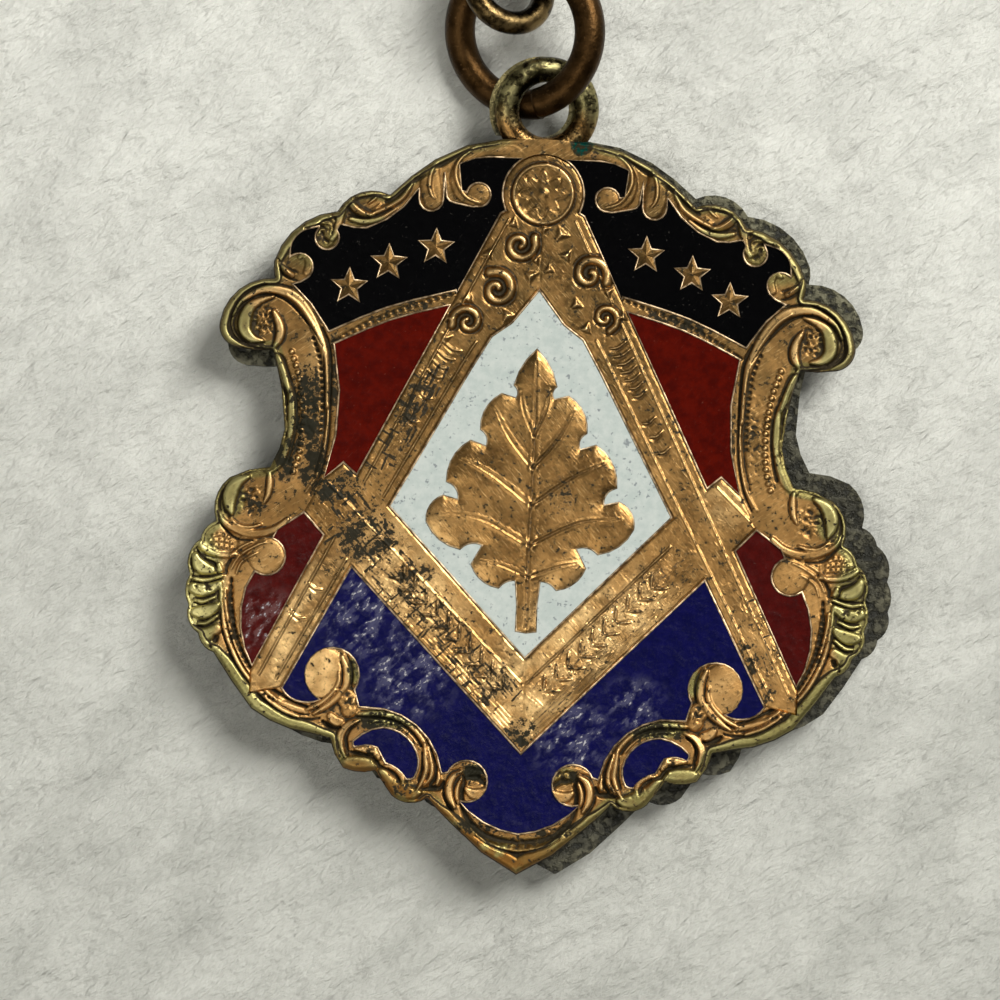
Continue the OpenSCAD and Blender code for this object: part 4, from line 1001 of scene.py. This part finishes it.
# A thin wire of plated brass stands round each cell, on the top of its wall. The enamel is stoned level
# with it, and wear has burnished it bright.
wire_radius = 0.042
wire_sides = 8
edge_dull = (0.16, 0.11, 0.06, 1)
edge_bright = (0.62, 0.46, 0.28, 1)
burnished, tree, shader, place = new_finish("burnished_edge")
fine = graded(tree, grain(tree, place, 0.25 * mm, 4), 0.35, 0.65)
finished(tree, shader, blended(tree, fine, edge_dull, edge_bright), 1.0, 0.4)


def swept_loop(bm, path, radius, height):
    """A round wire of this radius laid along a closed path at a height, all in millimetres."""
    after, before = np.roll(path, -1, axis=0) - path, path - np.roll(path, 1, axis=0)
    after /= np.linalg.norm(after, axis=1)[:, None]
    before /= np.linalg.norm(before, axis=1)[:, None]
    out = np.column_stack([after[:, 1] + before[:, 1], -after[:, 0] - before[:, 0]])
    out /= np.maximum((out**2).sum(1) / 2, 0.7)[:, None]
    rings = []
    for (x, y), (u, v) in zip(path, out):
        rings.append([bm.verts.new((x + radius * math.cos(a) * u, y + radius * math.cos(a) * v,
                                    height + radius * math.sin(a)))
                      for a in np.linspace(0, 2 * math.pi, wire_sides, endpoint=False)])
    for one, two in zip(rings, rings[1:] + rings[:1]):
        for k in range(wire_sides):
            following = (k + 1) % wire_sides
            bm.faces.new((one[k], one[following], two[following], two[k])).smooth = True


def thinned(loop, step=0.06):
    """A loop without the points that lie closer together than a step."""
    kept = [loop[0]]
    for point in loop[1:]:
        if np.hypot(*(point - kept[-1])) > step:
            kept.append(point)
    return np.array(kept)


bm = bmesh.new()
for loops in cell_loops.values():
    for loop in loops:
        swept_loop(bm, thinned(loop), wire_radius, face)
bmesh.ops.recalc_face_normals(bm, faces=bm.faces)
placed("cell_edges", bm, burnished)

# The bail's front half is cast with the plate: a half-round loop, its foot spread onto the top of the rim.
# It is bent and twisted a little and worn to dull brass, with a crust of verdigris at its right foot.
bail_up, bail_radius, bail_width, bail_height = 14.72, 1.52, 0.96, 0.385
bail_foot, seam, bail_bend, bail_twist = 12.72, 1.465, math.radians(8), math.radians(10)
bail_gap = 0.015            # half the gap between the two halves
bail_steps, bail_sides = 96, 14
bail_dark = (0.035, 0.03, 0.011, 1)
bail_bright = (0.3, 0.265, 0.12, 1)
bail_finish, tree, shader, place = new_finish("bail_brass")
up = add_node(tree, "SeparateXYZ", {}, place).outputs["Y"]
mottle = grain(tree, place, 0.8 * mm, 5)
fine = grain(tree, place, 0.2 * mm, 4)
low = graded(tree, combined(tree, up, combined(tree, mottle, 0.8 * mm), "ADD"), 14.0 * mm, 15.4 * mm, 1, 0)
brass = blended(tree, graded(tree, mottle, 0.38, 0.62), bail_dark, bail_bright)
skin = blended(tree, combined(tree, low, 0.7), brass, rose)
skin = blended(tree, graded(tree, fine, 0.36, 0.5, 0.9, 0), skin, grime)
skin = crusted(tree, place, skin, fine, mottle)
finished(tree, shader, skin, 1.0, graded(tree, mottle, 0.3, 0.7, 0.2, 0.36))
bumped(tree, shader, fine, 0.03 * mm)

bm = bmesh.new()
arch = [bm.verts.new((bail_radius + bail_width / 2 * math.cos(b), 0, bail_gap + bail_height * math.sin(b)))
        for b in np.linspace(0, math.pi, bail_sides)]
edges = [bm.edges.new(pair) for pair in zip(arch, arch[1:] + arch[:1])]
bmesh.ops.spin(bm, geom=edges + arch, cent=(0, 0, 0), axis=(0, 0, 1), angle=2 * math.pi, steps=bail_steps,
               use_merge=True)
bmesh.ops.recalc_face_normals(bm, faces=bm.faces)
for f in bm.faces:
    f.smooth = f.normal.z > -0.9        # all but the flat underside
twist = Matrix.Rotation(bail_twist, 4, "Y")
bend = Matrix.Rotation(bail_bend, 4, "X")
stand = (Matrix.Translation((0, bail_foot, seam)) @ bend
         @ Matrix.Translation((0, bail_up - bail_foot, 0)) @ twist)
bmesh.ops.transform(bm, matrix=stand, verts=bm.verts)
placed("bail_front", bm, bail_finish)

for piece in [o for o in bpy.data.objects if o.get("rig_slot") == "rose_gold"]:
    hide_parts("front_plate")

# The enamels are fired glass, stoned level with the metal and polished. They stay the part's own solids.
# Where the fob has been rubbed, the dark red and the blue are scuffed dull and chipped, and there a painted
# pale sheen and painted glints stand for light off the scuffed glass.
glass_polish = 0.16         # the roughness of unworn enamel
glass_shine = 0.22
chip_and_glint_pale = (0.45, 0.44, 0.46, 1)


def fired_glass(name, deep, light, speck, speck_size, speck_share, sheen_and_haze_tone=None, scuffed_and_sheen_places=()):
    """Glossy enamel of two close shades with specks, scuffed dull at some places, with a painted pale
    sheen and painted glints there.
    """
    material, tree, shader, place = new_finish(name)
    wide = grain(tree, place, 2.5 * mm, 3)
    mottle = grain(tree, place, 0.35 * mm, 8)
    scuffs = grain(tree, place, 0.45 * mm, 9, (0.8, 1.5))
    chips = grain(tree, place, 0.12 * mm, 5, (0.8, 1.8))
    hairs = grain(tree, place, 0.04 * mm, 2, (0.9, 14))
    specks = graded(tree, grain(tree, place, speck_size, 3), 0.5 + speck_share, 0.58 + speck_share)
    skin = blended(tree, graded(tree, mottle, 0.3, 0.7), deep, light)
    skin = blended(tree, specks, skin, speck)
    skin = blended(tree, graded(tree, hairs, 0.64, 0.8, 0, 0.35), skin, speck)
    rough = glass_polish
    worn = 0.0
    for x, y, reach in scuffed_and_sheen_places:
        offset = add_node(tree, "VectorMath", {"operation": "DISTANCE"}, place, (x * mm, y * mm, face * mm))
        spot = graded(tree, offset.outputs["Value"], reach * 0.2 * mm, reach * mm, 1, 0)
        worn = combined(tree, worn, spot, "MAXIMUM")
    if scuffed_and_sheen_places:
        # Painted reflection, partly real scuffing: the scuffed places are paled towards a grey sheen, and
        # small chips and glints are painted near white.
        scuff_haze_and_sheen = combined(tree, worn, graded(tree, scuffs, 0.44, 0.62))
        chips_and_glints = combined(tree, graded(tree, scuff_haze_and_sheen, 0.3, 0.75), graded(tree, chips, 0.54, 0.61))
        skin = blended(tree, combined(tree, scuff_haze_and_sheen, 0.75), skin, sheen_and_haze_tone)
        skin = blended(tree, combined(tree, chips_and_glints, 0.85), skin, chip_and_glint_pale)
        rough = graded(tree, scuff_haze_and_sheen, 0, 0.8, glass_polish, 0.5)
        bumped(tree, shader, scuffs, 0.025 * mm)
        bumped(tree, shader, chips_and_glints, 0.015 * mm)
    finished(tree, shader, skin, None, rough)
    fill(tree, shader, [("Specular IOR Level", glass_shine)])
    bumped(tree, shader, wide, 0.01 * mm)
    bumped(tree, shader, mottle, 0.008 * mm)
    return material


black_glass = fired_glass("black_enamel", (0.0004, 0.0004, 0.0006, 1), (0.0008, 0.0008, 0.001, 1),
                          (0.03, 0.028, 0.024, 1), 0.13 * mm, 0.17)
red_glass = fired_glass("red_enamel", (0.042, 0.0016, 0.0006, 1), (0.076, 0.0032, 0.0009, 1),
                        (0.15, 0.045, 0.03, 1), 0.12 * mm, 0.17)
dark_red_glass = fired_glass("dark_red_enamel", (0.035, 0.0022, 0.0018, 1), (0.06, 0.004, 0.003, 1),
                             (0.07, 0.03, 0.025, 1), 0.15 * mm, 0.2, (0.12, 0.048, 0.045, 1),
                             [(-9.9, -5.0, 1.9)])
blue_glass = fired_glass("blue_enamel", (0.0018, 0.0022, 0.032, 1), (0.0035, 0.0035, 0.05, 1),
                         (0.015, 0.015, 0.06, 1), 0.18 * mm, 0.2, (0.06, 0.06, 0.12, 1),
                         [(-6.3, -4.6, 2.4), (-4.4, -6.6, 2.6), (1.8, -8.8, 2.2), (4.2, -7.6, 1.6)])
white_glass = fired_glass("white_enamel", (0.4, 0.45, 0.425, 1), (0.48, 0.52, 0.488, 1),
                          (0.22, 0.245, 0.25, 1), 0.2 * mm, 0.1)
for cells, glass in (("enamel_black", black_glass), ("enamel_red_upper", red_glass),
                     ("enamel_red_lower", dark_red_glass), ("enamel_blue", blue_glass),
                     ("enamel_white", white_glass)):
    for name in enamel_nodes:
        if name.startswith(cells):
            recoat(frame["nodes"][name], glass)
            weld_seams(frame["nodes"][name])

# The jump ring is copper wire wound round once and cut. Its ends have sprung apart along its axis. It hangs
# loose in the bail.
ring_wire, ring_radius, ring_spring = 1.15, 2.72, 1.3
ring_at, ring_lean = (-0.93, 17.55, 1.9), (6, -20, 0)
ring_sides, ring_steps = 32, 160
cut_angle, cut_half = math.radians(-78), math.radians(3.5)
copper_dark = (0.02, 0.01, 0.003, 1)
copper_brown = (0.065, 0.034, 0.012, 1)
copper_bare = (0.15, 0.085, 0.036, 1)


def lean_matrix(at, lean):
    x, y, z = map(math.radians, lean)
    turn = Matrix.Rotation(z, 4, "Z") @ Matrix.Rotation(y, 4, "Y") @ Matrix.Rotation(x, 4, "X")
    return Matrix.Translation(at) @ turn


def wire_circle(bm, at, radius, sides):
    """A circle of points across a wire that sets off along Y from this place on X."""
    made = bmesh.ops.create_circle(bm, cap_ends=False, radius=radius, segments=sides)["verts"]
    bmesh.ops.rotate(bm, matrix=Matrix.Rotation(math.pi / 2, 3, "X"), verts=made)
    bmesh.ops.translate(bm, vec=at, verts=made)
    return made


copper, tree, shader, place = new_finish("copper_wire")
wide = grain(tree, place, 1.2 * mm, 4)
drawn = grain(tree, place, 0.12 * mm, 3)
skin = blended(tree, graded(tree, wide, 0.35, 0.65), copper_dark, copper_brown)
skin = blended(tree, graded(tree, drawn, 0.58, 0.75, 0, 0.5), skin, copper_bare)
finished(tree, shader, skin, 1.0, graded(tree, wide, 0.3, 0.7, 0.3, 0.45))
bumped(tree, shader, drawn, 0.02 * mm)
bm = bmesh.new()
turn = 2 * math.pi - 2 * cut_half
start = wire_circle(bm, (ring_radius, 0, ring_spring / 2), ring_wire / 2, ring_sides)
edges = list(bm.edges)
bm.faces.new(start)
spun = bmesh.ops.spin(bm, geom=edges + start, cent=(0, 0, 0), axis=(0, 0, 1), angle=turn, steps=ring_steps,
                      dvec=(0, 0, -ring_spring / ring_steps), use_merge=False)["geom_last"]
bmesh.ops.contextual_create(bm, geom=[g for g in spun if isinstance(g, bmesh.types.BMEdge)])
for f in bm.faces:
    f.smooth = len(f.verts) == 4
bmesh.ops.recalc_face_normals(bm, faces=bm.faces)
start_turn = Matrix.Rotation(cut_angle + cut_half, 4, "Z")
bmesh.ops.transform(bm, matrix=lean_matrix(ring_at, ring_lean) @ start_turn, verts=bm.verts)
ring_piece = placed("jump_ring_wire", bm, copper)
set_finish(ring_piece, "copper_ring")
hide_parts("jump_ring")

# The chain's last link is an oval of pale brass wire, its joint brazed shut. It hangs in the top of the
# jump ring, and the rest of the chain isn't shown.
link_wire, link_width, link_length = 0.88, 3.8, 6.4
link_at, link_lean = (-1.7, 20.45, 1.69), (-22, 25, -6)
link_bow = (link_width - link_wire) / 2
link_half = (link_length - link_width) / 2
link_sides, link_steps = 24, 48
link_dark = (0.022, 0.014, 0.005, 1)
link_brass = (0.22, 0.15, 0.062, 1)
link_grime = (0.03, 0.02, 0.01, 1)
chain_brass, tree, shader, place = new_finish("chain_brass")
wide = grain(tree, place, 1.0 * mm, 4)
fine = grain(tree, place, 0.15 * mm, 3)
skin = blended(tree, graded(tree, wide, 0.42, 0.6), link_dark, link_brass)
skin = blended(tree, graded(tree, fine, 0.3, 0.42, 0.7, 0), skin, link_grime)
finished(tree, shader, skin, 1.0, graded(tree, wide, 0.3, 0.7, 0.22, 0.4))
bumped(tree, shader, fine, 0.02 * mm)
bm = bmesh.new()
for end in (1, -1):
    verts_before, edges_before = len(bm.verts), len(bm.edges)
    start = wire_circle(bm, (end * link_bow, 0, 0), link_wire / 2, link_sides)
    bmesh.ops.spin(bm, geom=list(bm.edges)[edges_before:] + start, cent=(0, 0, 0), axis=(0, 0, 1),
                   angle=math.pi, steps=link_steps)
    bmesh.ops.translate(bm, vec=(0, end * link_half, 0), verts=list(bm.verts)[verts_before:])
for side in (1, -1):
    open_ends = [e for e in bm.edges if e.is_boundary and e.verts[0].co.x * side > 0]
    bmesh.ops.bridge_loops(bm, edges=open_ends)
for f in bm.faces:
    f.smooth = True
bmesh.ops.recalc_face_normals(bm, faces=bm.faces)
bmesh.ops.transform(bm, matrix=lean_matrix(link_at, link_lean), verts=bm.verts)
link_piece = placed("chain_link_wire", bm, chain_brass)
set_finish(link_piece, "chain_brass")
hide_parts("chain_link")

# The fob lies on a sheet of pale, matt paper. The paper is creased and full of fibres. Its colour is
# painted a little brighter towards the top, as painted light from the window.
floor_size = 0.6
paper_near = (0.5, 0.505, 0.462, 1)
paper_far = (0.64, 0.645, 0.594, 1)
paper_near_dark = (0.42, 0.425, 0.387, 1)
paper_far_dark = (0.56, 0.565, 0.52, 1)
paper, tree, shader, place = new_finish("pale_paper")
creases = grain(tree, place, 2.0 * mm, 8, (0.7, 2.2))
fibres = grain(tree, place, 0.3 * mm, 5, (0.75, 4.0))
tone = grain(tree, place, 2.8 * mm, 8, (0.7, 2.4))
# Painted light: the paper's colour brightens towards the top of the view.
painted_light_up = graded(tree, add_node(tree, "SeparateXYZ", {}, place).outputs["Y"], -17 * mm, 18 * mm)
sheet_tone = blended(tree, painted_light_up, paper_near, paper_far)
sheet_dark = blended(tree, painted_light_up, paper_near_dark, paper_far_dark)
finished(tree, shader, blended(tree, graded(tree, tone, 0.36, 0.62), sheet_dark, sheet_tone), None, 0.85)
bumped(tree, shader, creases, 0.9 * mm)
bumped(tree, shader, fibres, 0.1 * mm)
bm = bmesh.new()
bmesh.ops.create_grid(bm, x_segments=1, y_segments=1, size=floor_size / 2)
mesh = bpy.data.meshes.new("sheet")
bm.to_mesh(mesh)
bm.free()
mesh.materials.append(paper)
sheet = bpy.data.objects.new("sheet", mesh)
bpy.context.collection.objects.link(sheet)

# Daylight comes from a window at the upper right, with a weaker fill from the rest of the room. The camera
# looks straight down.
camera_height = 0.25
view_at = (-1.165 * mm, -0.047 * mm)
view_width = 37.6 * mm
camera_roll = math.radians(2.3)
focus_height = 0.002        # the fob's face, where the view has its width
window_at = (0.25, 0.26, 0.4)
window_size = 0.235
window_power = 3.8
window_colour = (1.0, 0.985, 0.955)


def area_light(name, at, aim, size, power, colour):
    data = bpy.data.lights.new(name, "AREA")
    data.shape, data.size, data.energy, data.color = "SQUARE", size, power, colour
    light = bpy.data.objects.new(name, data)
    bpy.context.collection.objects.link(light)
    light.location = at
    light.rotation_euler = (Vector(aim) - Vector(at)).to_track_quat("-Z", "Y").to_euler()


area_light("window", window_at, (0, 0, 0), window_size, window_power, window_colour)
world = bpy.data.worlds.new("room")
bpy.context.scene.world = world
world.use_nodes = True
tree = world.node_tree
toward = tree.nodes.new("ShaderNodeTexCoord").outputs["Generated"]


def facing(axis, low, high):
    """How near a direction is to an axis, as a smooth step between two cosines."""
    axis = Vector(axis).normalized()
    cosine = add_node(tree, "VectorMath", {"operation": "DOT_PRODUCT"}, toward, tuple(axis)).outputs["Value"]
    return graded(tree, cosine, low, high)


room = blended(tree, facing((-0.8, -0.5, 0.34), 0.3, 0.9), (0.1, 0.1, 0.096, 1), (0.6, 0.59, 0.55, 1))
room = blended(tree, facing((0, 0, 1), 0.15, 0.6), (0.19, 0.187, 0.178, 1), room)
room = blended(tree, facing((0.02, 0.05, 1), 0.9, 0.985), room, (0.025, 0.025, 0.024, 1))
sky = blended(tree, facing((-0.22, -0.32, 0.92), 0.945, 0.99), room, (3.4, 3.32, 3.12, 1))
tree.links.new(sky, tree.nodes["Background"].inputs["Color"])
tree.nodes["Background"].inputs["Strength"].default_value = 1.0

camera_data = bpy.data.cameras.new("camera")
camera_data.lens_unit = "FOV"
camera_data.angle = 2 * math.atan(view_width / 2 / (camera_height - focus_height))
camera = bpy.data.objects.new("camera", camera_data)
bpy.context.collection.objects.link(camera)
camera.location = (*view_at, camera_height)
camera.rotation_euler = (0, 0, camera_roll)
bpy.context.scene.camera = camera
bpy.context.scene.view_settings.view_transform = "Standard"
